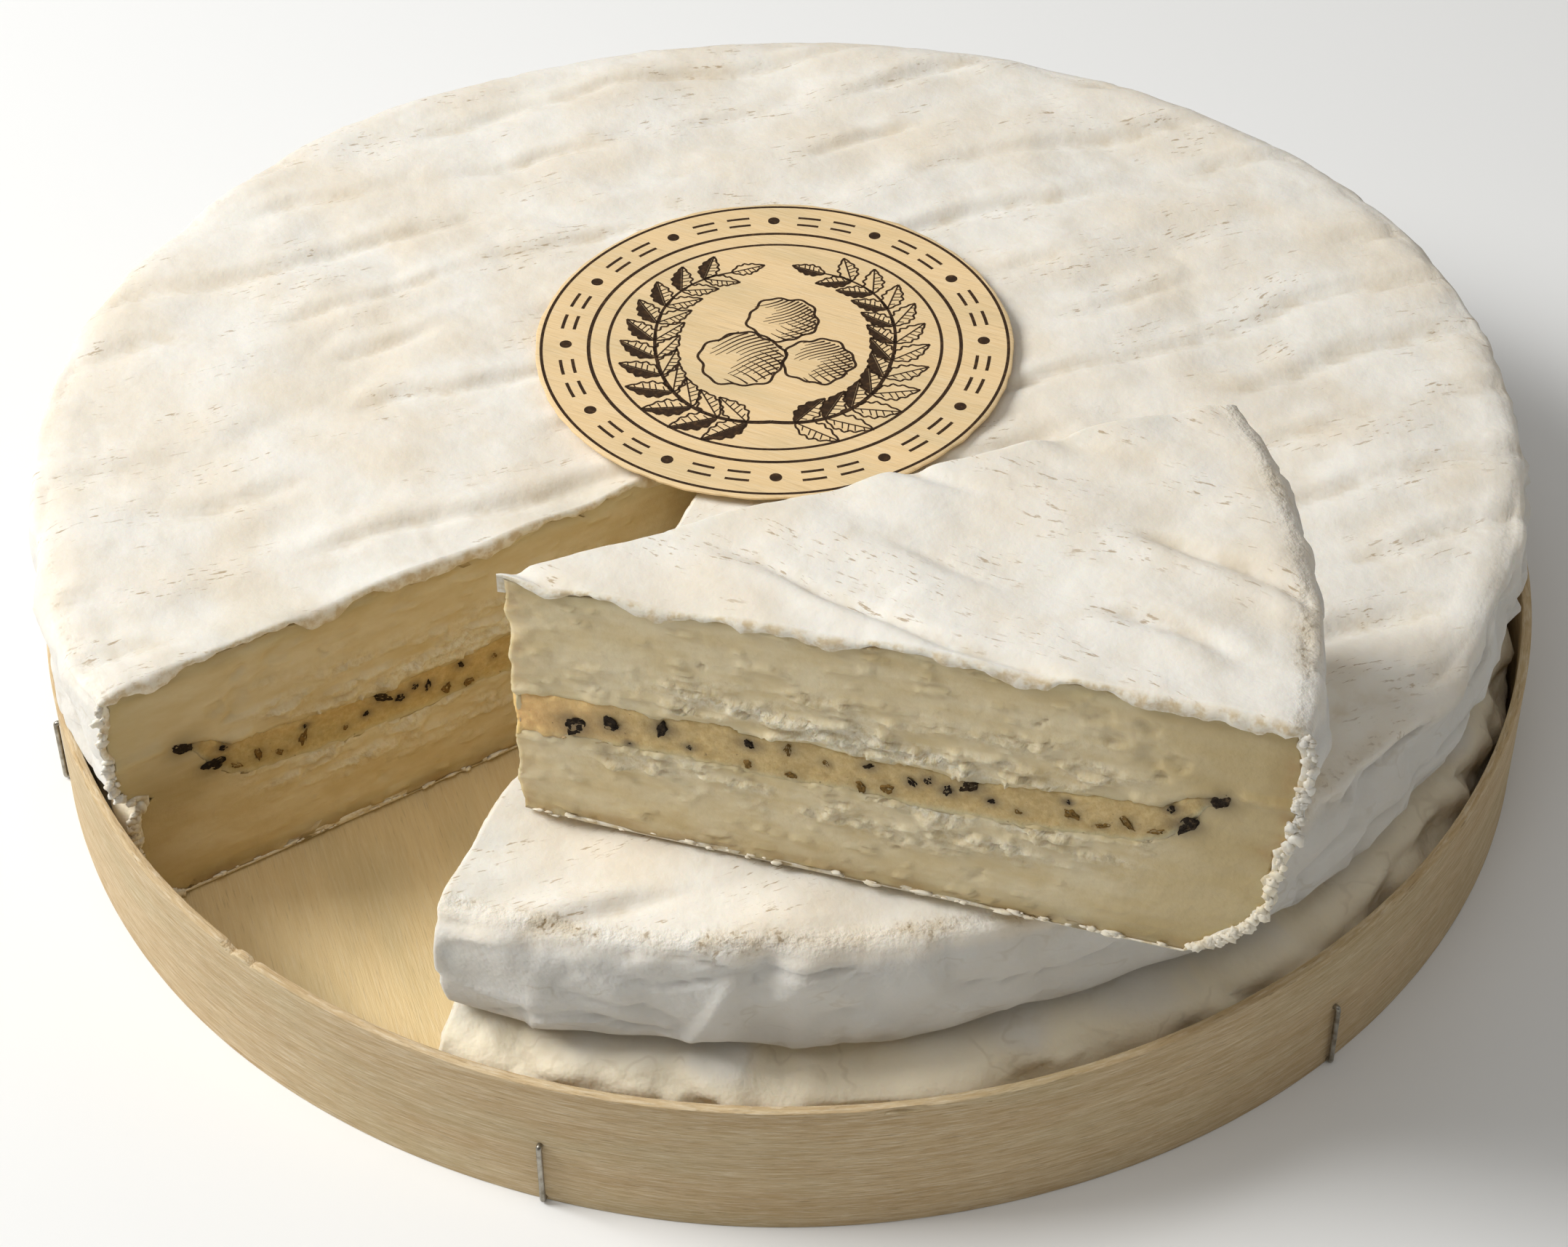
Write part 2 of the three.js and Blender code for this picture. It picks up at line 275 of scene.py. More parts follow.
def rind_height(p, up):
    """How far the bloom stands out of the smooth shape at the points p. up is the normal's height."""
    x, y, z = p[..., 0], p[..., 1], p[..., 2]
    top, under = smoothstep(0.45, 0.9, up), smoothstep(0.45, 0.9, -up)
    side = 1 - smoothstep(0.2, 0.75, np.abs(up))
    arc = np.arctan2(y, x) * 100
    along, across = mat_lanes(x, y)
    furrow, ridge = furrow_lines(x, y)
    soft = 0.42 * perlin(p / 12, 2) + 0.15 * perlin(p / 5.5, 3) + 0.02 * perlin(p / 1.8, 4)
    lumps = 0.85 * flat_noise(along / 20, across / 8, 1) + 0.2 * flat_noise(along / 7, across / 4.5, 5) - 0.6
    lumps = lumps - 0.85 * furrow + 0.42 * ridge - 0.1 * crease(perlin(p / 17, 6), 0.1)
    # The angle jumps at azimuth 180, so what hangs on it fades out there.
    folds = 0.6 * flat_noise(arc / 9, z / 30, 8) * smoothstep(30, 12, z)
    folds = folds + 0.75 * flat_noise(arc / 9, z / 9, 11)
    wrinkles = 0.55 * crease(flat_noise(arc / 14, z / 11, 9), 0.1)
    wrinkles = wrinkles - 0.6 * crease(flat_noise(arc / 17, z / 7, 10), 0.07)
    wrinkles = wrinkles - 0.55 * crease(flat_noise(arc / 13, z / 34, 14), 0.08) + 0.4 * perlin(p / 6.5, 13)
    slant = arc + 1.1 * (z - 18)
    gathers = 0.6 * flat_noise(slant / 6, z / 9, 16) - 1.5 * crease(flat_noise(slant / 13, z / 26, 15), 0.17)
    gathers = (gathers + 0.5 * perlin(p / 3.6, 17)) * smoothstep(24, 20.5, z) * smoothstep(8, 15, z)
    past = arc - (PINCH - 2 * math.pi) * 100 - 0.04 * (z - 20) + 0.6 * np.sin(z / 4)
    dent = 1 + 1.1 * smoothstep(33, 40, z)
    pinch = -0.85 * dent * crease(past, 2.2) + 0.5 * crease(past - 0.9, 0.7)
    pinch = pinch + 0.6 * crease(past - 4.4, 2.2) + 0.4 * crease(past + 4, 2.0)
    pinch = pinch - 0.7 * crease((past + 0.9 * (z - 12)) / 1.1, 1.0) * smoothstep(20, 17, z)
    faded = smoothstep(0, 25, 314.16 - np.abs(arc))
    lower = smoothstep(26, 21, z)
    crumpled = 1 + 0.8 * np.exp(-(((np.degrees(arc / 100) + 30) / 38) ** 2))  # most on the right
    height = soft + top * (1 - lower) * lumps + faded * gathers
    height = height + side * faded * crumpled * (folds + wrinkles)
    height = height + np.maximum(side, lower * smoothstep(8, 15, z)) * pinch
    height = height * (1 - 0.75 * under)
    height = np.log(np.exp(5 * height) + np.exp(-5 * 2.2)) / 5
    capped = -np.log(np.exp(-5 * height) + np.exp(-5 * 0.22)) / 5
    return np.where(top + under > 0, height + (capped - height) * np.minimum(1, 2 * (top + under)), height)


def rind_thickness(distance, z, seed):
    """How deep the white rind goes at a cut."""
    ragged = 0.3 * flat_noise(distance / 2.4, z / 2.4, seed, 3)
    ragged = ragged + 0.35 * flat_noise(distance / 8, z / 8, seed + 1)
    return np.maximum(1.15 + ragged, 0.55)


def normals_of(p):
    """The normals of a grid of points, with rows upward and columns anticlockwise."""
    n = np.cross(np.gradient(p, axis=1), np.gradient(p, axis=0))
    size = np.linalg.norm(n, axis=-1, keepdims=True)
    return np.where(size > 1e-7, n / np.maximum(size, 1e-9), 0)


def cheese_rows(profile):
    """The rows from the bottom's middle over the side to the top's middle."""
    side = side_rows(profile, ROW_SPACING)
    under = np.linspace(0, 1, 10)[:-1]
    over = np.linspace(1, 0, TOP_ROWS)[1:]
    first, last = side[0], side[-1]
    inset = np.concatenate([np.full(len(under), first[0]), side[:, 0], np.full(len(over), last[0])])
    z = np.concatenate([np.full(len(under), first[1]), side[:, 1], np.full(len(over), last[1])])
    half = np.concatenate([np.full(len(under), first[2]), side[:, 2], np.full(len(over), last[2])])
    share = np.concatenate([under, np.ones(len(side)), over])
    return inset, z, half, share


def skin(apex, phi, rows):
    """The smooth outside as a grid of points, with normals. Rows run from the bottom's apex to the top's."""
    inset, z, half, share = (r[:, None] for r in rows)
    t = share * side_distance(apex, phi[None, :], inset, z, half)
    cuts = np.array([[CUT_START], [CUT_END], [CUT_START + 2 * math.pi]])
    away = np.min(np.abs(phi - cuts), axis=0)
    wander = 1.5 * flat_noise(phi * 7, 0 * phi, 12, 2) * smoothstep(0, 0.2, away) * (share > 0.999)
    z = z + wander * np.exp(-(((z - 22) / 3.5) ** 2))
    p = np.stack([apex[0] + t * np.cos(phi), apex[1] + t * np.sin(phi), z + 0 * t], -1)
    n = normals_of(p)
    n[share[:, 0] < 0.999] = (0, 0, 0)
    low = (share[:, 0] < 0.999) & (z[:, 0] < 20)
    high = (share[:, 0] < 0.999) & (z[:, 0] > 20)
    n[low] = (0, 0, -1)
    n[high] = (0, 0, 1)
    return p, n, t


def columns(start, end, wide):
    """Directions from start to end, closer together beside both cuts and at the pinch in the side."""
    edge = CUT_ANGLE * np.linspace(0, 1, CUT_COLUMNS) ** 1.4
    fine = np.linspace(start + edge[-1], end - edge[-1], 4000)
    density = np.cumsum(1 + 4 * np.exp(-(((fine - PINCH) / 0.03) ** 2)))
    middle = np.interp(np.linspace(density[0], density[-1], wide), density, fine)
    return np.concatenate([start + edge[:-1], middle, (end - edge[:-1])[::-1]])


def slice_shape(p, apex):
    """The slice is a little thinner towards its point."""
    s = np.hypot(p[..., 0] - apex[0], p[..., 1] - apex[1])
    q = p.copy()
    q[..., 2] = WHEEL_BOTTOM + (p[..., 2] - WHEEL_BOTTOM) * (1 - 0.06 * np.exp(-s / 26))
    return q


def laid(p):
    """Takes points of the slice from where it was cut to where it lies."""
    c, s = math.cos(SLICE_TURN), math.sin(SLICE_TURN)
    q = np.array(p, float)
    x, y = q[..., 0] - APEX[0], q[..., 1] - APEX[1]
    q[..., 0] = SLICE_TIP[0] + c * x - s * y
    q[..., 1] = SLICE_TIP[1] + s * x + c * y
    q[..., 2] += SLICE_LIFT
    return q


def hang(distance, seed):
    """How far the top rind has been dragged down over a cut face, along it."""
    flaps = smoothstep(-0.1, 0.5, flat_noise(distance / 9, 0 * distance, seed))
    return 0.25 + 1.6 * flaps + 0.55 * flat_noise(distance / 2.5, 0 * distance, seed + 1, 3)


def build_rind(name, apex, start, end, profile, wide, material, seeds, node, move=None, shape=None):
    """The white rind as a closed shell: the outside, a ragged band along each cut and an inner skin."""
    rows = cheese_rows(profile)
    phi = columns(start, end, wide)
    base, normal, t = skin(apex, phi, rows)
    outer = base + normal * rind_height(base, normal[..., 2])[..., None]
    inner_phi = np.linspace(start, end, 40)
    inner_base, inner_normal, _ = skin(apex, inner_phi, rows)
    inner = inner_base - inner_normal * INNER_DEPTH
    bands, inner_ends = [], []
    for column, sign, seed in ((0, -1, seeds[0]), (-1, 1, seeds[1])):
        away = sign * np.array([-math.sin(phi[column]), math.cos(phi[column]), 0])
        p, n, far = outer[:, column], normal[:, column], t[:, column]
        flat = n - away * (n @ away)[:, None]
        is_top, is_under = smoothstep(0.5, 0.95, flat[:, 2]), smoothstep(0.5, 0.95, -flat[:, 2])
        tip = smoothstep(0, 4, far)
        deep = rind_thickness(far + 3 * rows[1], rows[1], seed)
        thin = 0.3 + 1.1 * smoothstep(-0.35, 0.7, flat_noise(far / 5, 0 * far, seed + 7, 4))
        deep = deep * (1 - is_under) + thin * is_under
        deep = deep * (1 - is_top) + is_top * (0.75 + hang(far, seed + 5)) * (0.3 + 0.7 * tip)
        out = 0.22 + 0.16 * flat_noise(far / 3, rows[1] / 2, seed + 2, 3) + 0.45 * is_top * deep / 2
        out = (out - 0.14 * is_under) * tip
        steps = [(0.22, 0.75), (0.55, 1.0), (0.85, 0.8), (1.0, 0.15)]
        rough = 0.1 * flat_noise(far / 0.9, rows[1] / 0.9, seed + 3, 2)
        strips = [p - flat * (deep * a)[:, None] + away * ((out + rough * b) * b * tip)[:, None] for a,
                  b in steps]
        bands.append(strips)
        inner_ends.append(p - flat * (deep * 0.8)[:, None] - away * 1.2 * tip[:, None])
    inner[:, 0], inner[:, -1] = inner_ends
    cols = [outer, np.stack(bands[1], 1), inner[:, ::-1], np.stack(bands[0][::-1], 1)]
    grid = np.concatenate(cols, axis=1)
    inside = np.concatenate([np.full(c.shape[:2], v) for c, v in zip(cols, (0.0, 1.0, 1.0, 1.0))], axis=1)
    where = grid.copy()
    # The end rows are single lines at the apex: pull every column of the outer skin together there.
    n_rows, n_cols = grid.shape[:2]
    for r in (0, -1):
        grid[r, : outer.shape[1]] = outer[r, 0]
    if shape is not None:
        middle = (start + end) / 2
        from_point = np.hypot(*(grid[..., :2] - apex).transpose(2, 0, 1))
        close = 1.3 * np.exp(-((from_point / 2.0) ** 2)) * smoothstep(15, 5, grid[..., 2])
        grid[..., :2] += close[..., None] * np.array([math.cos(middle), math.sin(middle)])
        grid = shape(grid, apex)
    if move is not None:
        grid = move(grid)
    x, y, z = where[..., 0], where[..., 1], where[..., 2]
    lane = np.stack([*mat_lanes(x, y), z], -1)
    on_top = smoothstep(37, 41, z)
    gap = np.abs((np.degrees(np.arctan2(y, x)) - 262 + 180) % 360 - 180)
    rim = np.exp(-(((rows[0][:, None] + 2.3) / 1.3) ** 2)) * (rows[1][:, None] > 37)
    rim = rim * (0.2 + 0.8 * smoothstep(75, 20, gap))
    marks = {
        "spot": where.reshape(-1, 3),
        "inside": inside.ravel(),
        "lane": lane.reshape(-1, 3),
        "furrow": (furrow_lines(x, y)[0] * on_top).ravel(),
        "above": on_top.ravel(),
        "rim": rim.ravel(),
    }
    return make(name, grid, [grid_faces(n_rows, n_cols, wrap=True)], material, marks, slot="rind",
                nodes=[node])


# ---- the cut faces -------------------------------------------------------------------------------------

# The numbers of BAND_TOP, BAND_BOTTOM, BITS and EYES were worked out by another program, from points that
# were picked by eye on a picture of the slice's front face. They follow no rule of this script.
# The filling's two edges: (along the face, above the underside).
BAND_TOP = np.array([(0, 21.2), (7, 21.4), (13.5, 21.8), (17.8, 21.1), (25.6, 21.9), (30, 21.0), (36, 21.7),
                     (41, 21.4),
                     (45.5, 20.9), (50, 21.5), (56.7, 20.8), (63, 21.9), (66.7, 22.2), (74, 22.9), (78, 23.0),
                     (80.5, 24.9), (83, 26.0), (86.5, 26.3)])
BAND_BOTTOM = np.array([(0, 13.1), (7, 14.4), (13.5, 14.6), (25.6, 14.3), (36, 14.2), (41, 14.7), (50, 14.4),
                        (57, 14.6),
                        (63, 14.7), (67, 15.2), (74.7, 15.9), (78, 17.0), (80.5, 19.4), (83, 23.6),
                        (86.5, 25.8)])
BITS = [  # truffle in the cut: (along, above the underside, half its size, 0 black to 1 olive brown)
    (8.4, 16.7, 1.5, 0.1), (12.9, 18.0, 1.15, 0.2), (19.3, 18.9, 0.9, 0.1), (12.1, 13.6, 0.35, 0),
    (15.1, 15.4, 0.3, 0),
    (29.6, 15.9, 0.6, 1), (29.9, 19.3, 0.75, 0.1), (34.5, 19.6, 0.6, 0.7), (34.8, 15.6, 0.6, 1),
    (43.2, 15.9, 0.7, 1),
    (44.1, 19.5, 0.5, 0.4), (46.5, 16.6, 0.8, 1), (49.3, 18.4, 0.6, 0.3), (51.2, 19.3, 0.5, 0.2),
    (53.4, 18.4, 0.7, 0.1),
    (56.1, 19.7, 1.0, 0.4), (61.8, 17.2, 0.45, 0.9), (67.9, 18.5, 0.85, 0.9), (67.4, 20.3, 0.3, 0),
    (71.5, 17.7, 0.6, 1),
    (74.4, 18.8, 0.75, 0.8), (77.6, 18.6, 0.6, 1), (79.2, 22.6, 0.55, 0.1), (80.9, 20.4, 1.15, 0.05),
    (84.4, 25.3, 1.25, 0.1), (22.5, 16.8, 0.35, 0.1), (39.0, 18.6, 0.4, 0.8), (58.6, 18.0, 0.4, 0.1),
]
# Small holes in the paste: (along, above the underside, half the size).
EYES = [(70.5, 34.8, 1.1), (71.6, 31.6, 1.2), (76.6, 29.8, 1.4), (79.4, 29.4, 0.8), (75.5, 34.2, 0.9),
        (77.8, 27.3, 0.7), (63.8, 31.7, 0.4), (57.2, 5.4, 0.8), (24.0, 30.5, 0.5), (47.5, 7.2, 0.5)]
CRUMBS_UP = 110  # crumbs of rind up the rim of a cut
CRUMBS_ALONG = 48  # and along its bottom


def bits_of(face):
    """The truffle bits of a cut face. Face 0 is at CUT_START and face 1 at CUT_END, on both pieces."""
    if face == 0:
        return BITS
    rng = np.random.default_rng(8)
    return [(rng.uniform(4, 83), rng.uniform(15.6, 20.4), rng.choice([0.35, 0.5, 0.7, 0.9, 1.3]),
             rng.uniform(0, 1))
            for _ in range(30)]


def stain(s, z, face):
    """The grey halo that truffle leaves in the cream round it."""
    total = np.zeros(np.shape(s))
    for along, above, size, tone in bits_of(face):
        spread = 1.25 * size + 0.45
        gap = np.hypot((s - along) * 0.8, z - WHEEL_BOTTOM - above) / spread
        total = np.maximum(total, (1 - 0.6 * tone) * np.exp(-(gap**2)))
    return total


def band(s, face):
    """The filling's lower and upper edge along a cut face, above z 0."""
    if face == 0:
        low, high = np.interp(s, *BAND_BOTTOM.T), np.interp(s, *BAND_TOP.T)
    else:
        close = smoothstep(74, 86.5, s)
        low = 14.5 + 0.6 * flat_noise(s / 14, 0 * s, 60 + face) + 3.0 * close
        high = 21.4 + 0.6 * flat_noise(s / 12, 0 * s, 70 + face) - 1.6 * close
    ragged = 0.22 * flat_noise(s / 1.3, 0 * s, 80 + face, 2), 0.22 * flat_noise(s / 1.1, 0 * s, 90 + face, 2)
    return WHEEL_BOTTOM + low + ragged[0], WHEEL_BOTTOM + high + ragged[1]


def chalk(s, z, face):
    """How chalky and crumbly the paste is: most beside the filling, away from both ends."""
    low, high = band(s, face)
    above, below = np.maximum(z - high, 0), np.maximum(low - z, 0)
    near = np.exp(-((above / 6.5) ** 2)) * (z >= high) + np.exp(-((below / 5.0) ** 2)) * (z <= low)
    along = smoothstep(-4, 34, s) * smoothstep(82, 68, s)
    patchy = 0.6 + 1.2 * flat_noise(s / 10, z / 2.4, 100 + face, 3)
    return np.clip(near * along * patchy, 0, 1)


def paste_relief(s, z, face):
    low, high = band(s, face)
    chalky = smoothstep(0.1, 0.5, chalk(s, z, face))
    rough = 0.10 * flat_noise(s / 6, z / 5, 110 + face, 2)
    rough = rough + 0.04 * flat_noise(s / 1.3, z / 0.9, 120 + face, 2)
    warp = 0.5 * flat_noise(s / 4, z / 3, 125 + face)
    torn = flat_noise(s / 3.6 + warp, z / 1.15 + warp, 130 + face, 3)
    flakes = smoothstep(-0.02, 0.1, torn) + 0.8 * smoothstep(0.3, 0.38, torn)
    few = smoothstep(0.45, 0.55, flat_noise(s / 5, z / 1.2, 135 + face, 2)) * smoothstep(85, 60, s)
    depth = rough + chalky * (0.42 * flakes + 0.14 * flat_noise(s / 0.9, z / 0.8, 136 + face)) + 0.3 * few
    drag = 0.05 * flat_noise((s + 0.4 * z) / 16, (z - 0.1 * s) / 0.9, 140 + face)
    depth = depth + drag * (1 - chalky) + 0.4 * np.exp(-s / 5) * flat_noise(s / 2.2, z / 2.2, 145 + face, 2)
    broken = smoothstep(-0.25, 0.35, flat_noise(s / 6, 0 * s, 146 + face, 2))
    ledge = np.exp(-(((z - high - 0.3) / 0.8) ** 2)) * broken
    depth = depth + 0.55 * ledge
    bend = 1.1 * flat_noise(s / 1.7, z / 1.7, 147, 2), 0.8 * flat_noise(s / 1.9, z / 1.5, 148, 2)
    for along, above, size in EYES:
        along, above = (along, above) if face == 0 else (0.9 * along, 43 - above)
        gap = np.hypot((s - along + bend[0]) / 1.35, z - WHEEL_BOTTOM - above + bend[1]) / size
        depth = depth - 0.45 * np.exp(-(gap**4))
    inside = smoothstep(0.45, 1.1, np.minimum(z - low, high - z))
    return depth - 1.1 * inside


def filling_relief(s, z, face):
    low, high = band(s, face)
    border = np.exp(-((np.minimum(z - low, high - z) / 0.4) ** 2))
    grain = flat_noise(s / 1.1, z / 1.0, 150 + face, 3)
    lumps = flat_noise(s / 3.6, z / 2.6, 160 + face, 2)
    tip = np.exp(-s / 9)
    sink = np.where(high - z < z - low, 0.5, 0.12)
    knobs = flat_noise(s / 2, z / 1.6, 170 + face, 2)
    return 0.05 - sink * border + 0.07 * grain + 0.12 * lumps + tip * 0.45 * knobs


def sector(apex, start, end, edge, place, relief, faces, n_face, n_sweep, n_rows, lean=2.2):
    """A closed body between two cut faces. edge gives its outer side's distance and height, place its points
    on the faces and relief how far the faces stand out. Returns points, faces and where each point is."""
    v = np.linspace(0, 1, n_rows)[:, None]
    u = np.linspace(0, 1, n_face)[None, :] ** 0.97
    blocks, marks = [], []
    for phi, sign, face, order in ((start, -1, faces[0], 1), (end, 1, faces[1], -1)):
        s, z = place(u, v, phi, face)
        s = s + (1 - u) * (1.0 + 0.5 * flat_noise(z / 2.4, 0 * z, 145))
        away = sign * np.array([-math.sin(phi), math.cos(phi), 0])
        out = relief(s, z, face)
        p = np.stack([apex[0] + s * math.cos(phi), apex[1] + s * math.sin(phi), z], -1)
        p = p + out[..., None] * away
        mark = np.stack([s, z, np.full(s.shape, float(face))], -1)
        blocks.append(p[:, ::order])
        marks.append(mark[:, ::order])
    ends = np.array([0.015, 0.05])
    between = np.linspace(start, end, n_sweep)[1:-1]
    sweep = np.concatenate([start + ends, between, (end - ends)[::-1]])[None, :]
    s, z = edge(v, sweep)
    body = np.stack([apex[0] + s * np.cos(sweep), apex[1] + s * np.sin(sweep), z + 0 * s], -1)
    grid = np.concatenate([blocks[0], body, blocks[1]], axis=1)
    where = np.concatenate([marks[0], np.stack([s, z + 0 * s, 5 + 0 * s], -1), marks[1]], axis=1)
    middle = np.append(apex, 0) + 30 * np.array([math.cos((start + end) / 2), math.sin((start + end) / 2), 0])
    for last, sign in ((0, 1), (-1, -1)):  # the rings that lean in to the caps
        ring = grid[last] + sign * np.array([0, 0, lean])
        pull = middle - ring
        pull[:, 2] = 0
        ring = ring + pull * (lean / np.linalg.norm(pull, axis=1, keepdims=True))
        grid = np.concatenate([ring[None], grid] if last == 0 else [grid, ring[None]])
        where = np.concatenate([where[:1], where] if last == 0 else [where, where[-1:]])
    n_rows, n_cols = grid.shape[:2]
    caps = [np.arange(n_cols)[None, ::-1], (n_rows - 1) * n_cols + np.arange(n_cols)[None, :]]
    return grid, [grid_faces(n_rows, n_cols, wrap=True), *caps], where


def profile_at(profile, z):
    p = np.array(profile)
    return np.interp(z, p[:, 1], p[:, 0]), np.interp(z, p[:, 1], p[:, 2])


def top_line(apex, s, phi):
    """The rind's height over a cut face."""
    p = np.stack([apex[0] + s * np.cos(phi), apex[1] + s * np.sin(phi), np.full(np.shape(s), WHEEL_TOP)], -1)
    return WHEEL_TOP + rind_height(p, np.ones(p.shape[:-1]))


def face_marks(s, z, face, faces):
    chalky, grey = np.zeros(s.shape), np.zeros(s.shape)
    for side in faces:
        chalky = np.where(face == side, chalk(s, z, side), chalky)
        grey = np.where(face == side, stain(s, z, side), grey)
    return chalky, grey


def build_paste(name, apex, start, end, profile, faces, n_sweep, material, node, move=None, shape=None):
    low, high = WHEEL_BOTTOM + 0.3, WHEEL_TOP - 0.9

    def edge(v, phi):
        z = low + v * (high - low)
        inset, half = profile_at(profile, z)
        for nearby in (z - 3, z - 1.5, z + 1.5, z + 3):
            inset = np.minimum(inset, profile_at(profile, nearby)[0])
        inset = inset - 3.2 - 3.5 * np.exp(-(((z - FOLD) / 4.5) ** 2))
        return side_distance(apex, phi, inset, z, half), z - 2.0 * smoothstep(0.8, 1.0, v)

    def place(u, v, phi, face):
        z = low + v * (high - low)
        inset, half = profile_at(profile, z)
        far = side_distance(apex, np.array([[phi]]), inset, z, half)
        outer = np.stack([apex[0] + far * math.cos(phi), apex[1] + far * math.sin(phi), z], -1)
        s = u * (far - 0.9 + np.minimum(rind_height(outer, 0 * z), 0.5))
        lid = top_line(apex, s, phi) - 0.8
        return s, low + v * (np.minimum(lid, high + 0.3) - low)

    points, polygons, where = sector(apex, start, end, edge, place, paste_relief, faces, 236, n_sweep, 92)
    s, z, face = where[..., 0], where[..., 1], where[..., 2]
    chalky, grey = face_marks(s, z, face, faces)
    depth = np.minimum(WHEEL_TOP - z, z - WHEEL_BOTTOM)
    rim = np.max(s, axis=1, keepdims=True) - s
    under_rind = np.minimum(depth, rim)
    points = shape(points, apex) if shape is not None else points
    points = move(points) if move is not None else points
    marks = {"spot": where.reshape(-1, 3), "chalk": chalky.ravel(), "deep": under_rind.ravel(),
             "rim": rim.ravel(), "grey": grey.ravel()}
    return make(name, points, polygons, material, marks, slot="paste", nodes=[node])


def build_filling(name, apex, start, end, faces, n_sweep, material, node, move=None, shape=None):
    def edge(v, phi):
        reach_out = 84.5 + 0 * phi
        middle, half = WHEEL_BOTTOM + 19.0, 2.6 + 0 * phi
        return reach_out - 6 * (2 * v - 1) ** 4, middle + half * (2 * v - 1)

    def place(u, v, phi, face):
        s = u * (86.4 if face == 0 else 85.5) + 0 * v
        low, high = band(s, face)
        return s, low + v * (high - low)

    points, polygons, where = sector(
        apex, start, end, edge, place, filling_relief, faces, 250, n_sweep, 24, lean=0.6
    )
    s, z, face = where[..., 0], where[..., 1], where[..., 2]
    grey = face_marks(s, z, face, faces)[1]
    from_low = np.where(face < 5, z - np.where(face == 0, band(s, 0)[0], band(s, 1)[0]), 2.0)
    points = shape(points, apex) if shape is not None else points
    points = move(points) if move is not None else points
    marks = {"spot": where.reshape(-1, 3), "grey": grey.ravel(), "from_low": from_low.ravel()}
    return make(name, points, polygons, material, marks, slot="truffle_filling", nodes=[node])


def ball(detail):
    work = bmesh.new()
    bmesh.ops.create_icosphere(work, subdivisions=detail, radius=1)
    points = np.array([v.co for v in work.verts])
    faces = np.array([[v.index for v in f.verts] for f in work.faces])
    work.free()
    return points, faces


def build_truffle(name, apex, start, end, faces, material, node, move=None, shape=None):
    rng = np.random.default_rng(8)
    parts, shades = [], []
    round_points, round_faces = ball(3)
    for phi, sign, face in ((start, -1, faces[0]), (end, 1, faces[1])):
        along = np.array([math.cos(phi), math.sin(phi), 0])
        away = sign * np.array([-math.sin(phi), math.cos(phi), 0])
        for s, above, size, tone in bits_of(face):
            stretch = rng.uniform(0.75, 1.6)
            turn = rng.uniform(0, math.pi)
            q = round_points * (0.9 + 0.7 * perlin(round_points * 1.1 + 10 * s, 200)[:, None]
                                + 0.22 * perlin(round_points * 3.4 + 10 * s, 201)[:, None])
            a, b = q[:, 0] * stretch * size, q[:, 2] / stretch * size
            a, b = a * math.cos(turn) - b * math.sin(turn), a * math.sin(turn) + b * math.cos(turn)
            proud = 0.14 + 0.3 * perlin(q * 2.2 + s, 202)
            out = np.minimum(q[:, 1] * size, proud * min(1, size / 0.6))
            origin = np.array([*apex, WHEEL_BOTTOM + above])
            p = origin + (s + a)[:, None] * along + out[:, None] * away
            p[:, 2] += b
            parts.append((p, [round_faces]))
            shades.append(np.full(len(p), tone))
    points, polygons = merged(parts)
    points = shape(points, apex) if shape is not None else points
    where = points.copy()
    points = move(points) if move is not None else points
    marks = {"spot": where, "tone": np.concatenate(shades)}
    return make(name, points, polygons, material, marks, slot="truffle", nodes=[node])


def build_crumbs(name, apex, phi, sign, profile, seed, material, node, move=None, shape=None):
    """Crumbs of rind on the rim of a cut: up the side and along the bottom."""
    rng = np.random.default_rng(seed)
    parts = []
    round_points, round_faces = ball(2)
    along = np.array([math.cos(phi), math.sin(phi), 0])
    away = sign * np.array([-math.sin(phi), math.cos(phi), 0])
    for k in range(CRUMBS_UP + CRUMBS_ALONG):
        up_side = k < CRUMBS_UP
        z = 2.8 + 37 * rng.uniform(0, 1) ** 1.3 if up_side else WHEEL_BOTTOM + rng.uniform(0.35, 0.9)
        inset, half = profile_at(profile, np.array([z]))
        far = side_distance(apex, np.array([phi]), inset, np.array([z]), half)[0]
        s = far - rng.uniform(0.1, 1.2) if up_side else rng.uniform(3, far)
        size = rng.uniform(0.2, 0.62) if up_side else rng.uniform(0.1, 0.45)
        q = round_points * (1 + 0.8 * perlin(round_points * 1.2 + 9 * k, 210)[:, None]) * size
        q[:, 0] *= rng.uniform(0.8, 1.2) if up_side else rng.uniform(0.9, 2.4)
        q[:, 2] *= rng.uniform(0.8, 1.7) if up_side else 0.6
        p = np.array([*apex, z]) + (s + 1.3 * q[:, :1]) * along + (0.25 + 0.8 * q[:, 1:2]) * away
        p[:, 2] = np.maximum(p[:, 2] + q[:, 2], WHEEL_BOTTOM + 0.02)
        parts.append((p, [round_faces]))
    points, polygons = merged(parts)
    points = shape(points, apex) if shape is not None else points
    where = points.copy()
    points = move(points) if move is not None else points
    lane = np.stack([*mat_lanes(where[:, 0], where[:, 1]), where[:, 2]], -1)
    none = np.zeros(len(points))
    marks = {"spot": where, "lane": lane, "inside": none + 0.45, "furrow": none, "above": none + 1,
             "rim": none}
    return make(name, points, polygons, material, marks, slot="rind", nodes=[node])


# ---- the tray and the label ----------------------------------------------------------------------------

